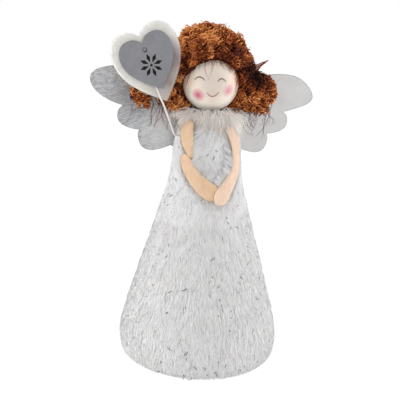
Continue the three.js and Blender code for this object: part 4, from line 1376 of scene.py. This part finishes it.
def makeFrizz():
    # short fibres all over, and long ones that hang below both side bundles
    random = np.random.default_rng(77)
    count = hair["frizz"]
    polar, around = np.arccos(1 - 1.8 * random.random(count)), random.random(count) * 6.3
    starts = onHair(polar, around, np.full(count, 1.8))
    way = unit(unit(starts - hair["middle"]) + 1.1 * random.normal(size=(count, 3)))
    looseFibres("hair_frizz", 78, starts, way, 2.6, 1.2, 0.13, 0.5)
    count = hair["wisps"]
    starts = np.concatenate(inBoxes(random, hair["wispBoxes"], (count, count)))
    way = unit(np.array([0.0, -0.05, -1]) + 0.3 * random.normal(size=(2 * count, 3)))
    looseFibres("hair_wisps", 79, starts, way, 16, 2.0, 0.13, 0.3)


fringe = {
    # right, up, length, sway and lean of each fibre, as the photograph sees them from the ball's middle
    "rows": [(-3.4, 16.6, 16, -1.8, 3.6), (2.4, 17.2, 14.5, -0.6, -3.4), (5.6, 16.2, 8, 0.4, 4.2),
             (-2, 16.8, 9, 2, 1), (-6.5, 16.2, 9, -1.5, -1.5), (-9.9, 15.2, 20, -2.6, -7.0),
             (-12.5, 13, 17, -1.6, -4.4), (1, 17, 6, 1.5, 2), (17.4, 9, 9, 1.2, 1.4),
             (15.2, 12.2, 13, 1.6, 3.4), (18.8, 3, 10, -0.8, -1.0)],
    "flick": [(31, -1, 208.5), (34.5, -2.5, 212.6), (38, -3.6, 215.0), (41, -4.2, 217.2)],
    "edge": 150, "tuft": 14, "steps": 10, "rim": (20.6, 19.0), "rimFrom": -35, "rimOver": 250,
}


def makeFringe():
    # fibres on the ball: right = a + sway sin(3 s) + lean s ** 2, up = b - long s,
    # near = sqrt(r ** 2 - right ** 2 - up ** 2); short ones start on the rim of the opening and lean a
    # little over the ball, and a tuft of fibres runs together to a tip at the right
    random = np.random.default_rng(83)
    edge, fixed, steps = fringe["edge"], len(fringe["rows"]), fringe["steps"]
    place = np.radians(fringe["rimFrom"] + fringe["rimOver"] * random.random(edge))
    wide, tall = fringe["rim"]
    short = np.stack([wide * np.cos(place), tall * np.sin(place) - 1, 3 + 4 * random.random(edge),
                      1.4 * (random.random(edge) - 0.5),
                      -np.cos(place) * (1.2 + 2.2 * random.random(edge))], -1)
    rows = np.concatenate([np.array(fringe["rows"], float), short])
    share = np.linspace(0, 1, steps)
    right = rows[:, :1] + rows[:, 3:4] * np.sin(share * 3) + rows[:, 4:] * share ** 2
    up = rows[:, 1:2] - rows[:, 2:3] * share
    out = np.sqrt(np.maximum((head["radius"] + 0.35) ** 2 - right ** 2 - up ** 2, 4))
    paths = (right[..., None] * faceRight + out[..., None] * faceNear
             + up[..., None] * [0, 0, 1] + head["centre"])
    spread = random.normal(size=(fringe["tuft"], 1, 3)) * 1.3 * (1.08 - share)[:, None]
    paths = np.concatenate([paths, smoothRows(fringe["flick"], steps)[None] + spread])
    kind = np.searchsorted([fixed, len(rows)], np.arange(len(paths)), "right")
    wide = np.array([0.24, 0.2, 0.32])[kind][:, None] * (1.1 - share)
    tones = np.array([0.42, 0.6, 0.45])[kind][:, None] + 0.15 * random.random((len(paths), 1)) + 0 * share
    strands("hair_fringe", paths * mm, wide * mm, tones, yarn)


vertices, faces = closedSkin(hairMass())
# painted shade: the hair's inside is a near black brown
makeClosed("hair_base", (vertices * mm, faces), yarn, np.full(len(vertices), 0.12))
makeCurls()
makeFrizz()
makeFringe()
print("hair made")


# inner parts

dress("card_cone", card)
dress("neck_plug", bareWood)
dress("neck_peg", bareWood)
# floor and light

studio = {
    "floor": 3.0, "floorLow": -0.0003, "sky": 0.9, "floorGlow": 0.85, "glow": 1.09, "aim": (0, 0, 0.14),
    "lamps": {
        "frontLamp": {"place": (-0.25, -0.95, 0.02), "size": 1.2, "energy": 3.4},
        "rightLamp": {"place": (0.97, 0.05, 0.18), "size": 0.35, "energy": 4.4},
        "leftLamp": {"place": (-0.95, 0.2, 0.18), "size": 0.35, "energy": 3.8},
        "topLamp": {"place": (-0.05, -0.2, 1.1), "size": 0.8, "energy": 0.4},
    },
}


def makeFloor():
    # a square that shows as nearly plain white to the camera and gives ordinary grey light back
    half, low = studio["floor"], studio["floorLow"]
    finish = Finish("floor", None, {
        "Base Color": (0.86, 0.86, 0.86, 1), "Roughness": 0.9, "Specular IOR Level": 0.0})
    mesh = bpy.data.meshes.new("floor")
    corners = [(-half, -half, low), (half, -half, low), (half, half, low), (-half, half, low)]
    mesh.from_pydata(corners, [], [(0, 1, 2, 3)])
    mesh.materials.append(finish.material)
    glow = finish.node("Emission", {}, {"Color": (1, 1, 1, 1), "Strength": studio["glow"]})
    mixed = finish.node("MixShader", {}, {
        0: finish.seen() * studio["floorGlow"], 1: Value(finish, finish.shader.outputs[0]), 2: glow})
    finish.links.new(mixed.socket, finish.nodes["Material Output"].inputs["Surface"])
    addObject("floor", mesh)


def makeWorld():
    # white to the camera, and a little less as light
    world = bpy.data.worlds.new("studio")
    bpy.context.scene.world = world
    finish = Finish("studio", None, {"Color": (1, 1, 1, 1)}, world, "Background")
    strength = finish.seen() * (1 - studio["sky"]) + studio["sky"]
    finish.links.new(strength.socket, finish.shader.inputs["Strength"])


def makeLamps():
    for name, lamp in studio["lamps"].items():
        data = bpy.data.lights.new(name, "AREA")
        data.size, data.energy = lamp["size"], lamp["energy"]
        lookFrom(addObject(name, data), lamp["place"], studio["aim"])


makeFloor()
makeWorld()
makeLamps()
bpy.context.scene.view_settings.view_transform = "Standard"
print("stage made")
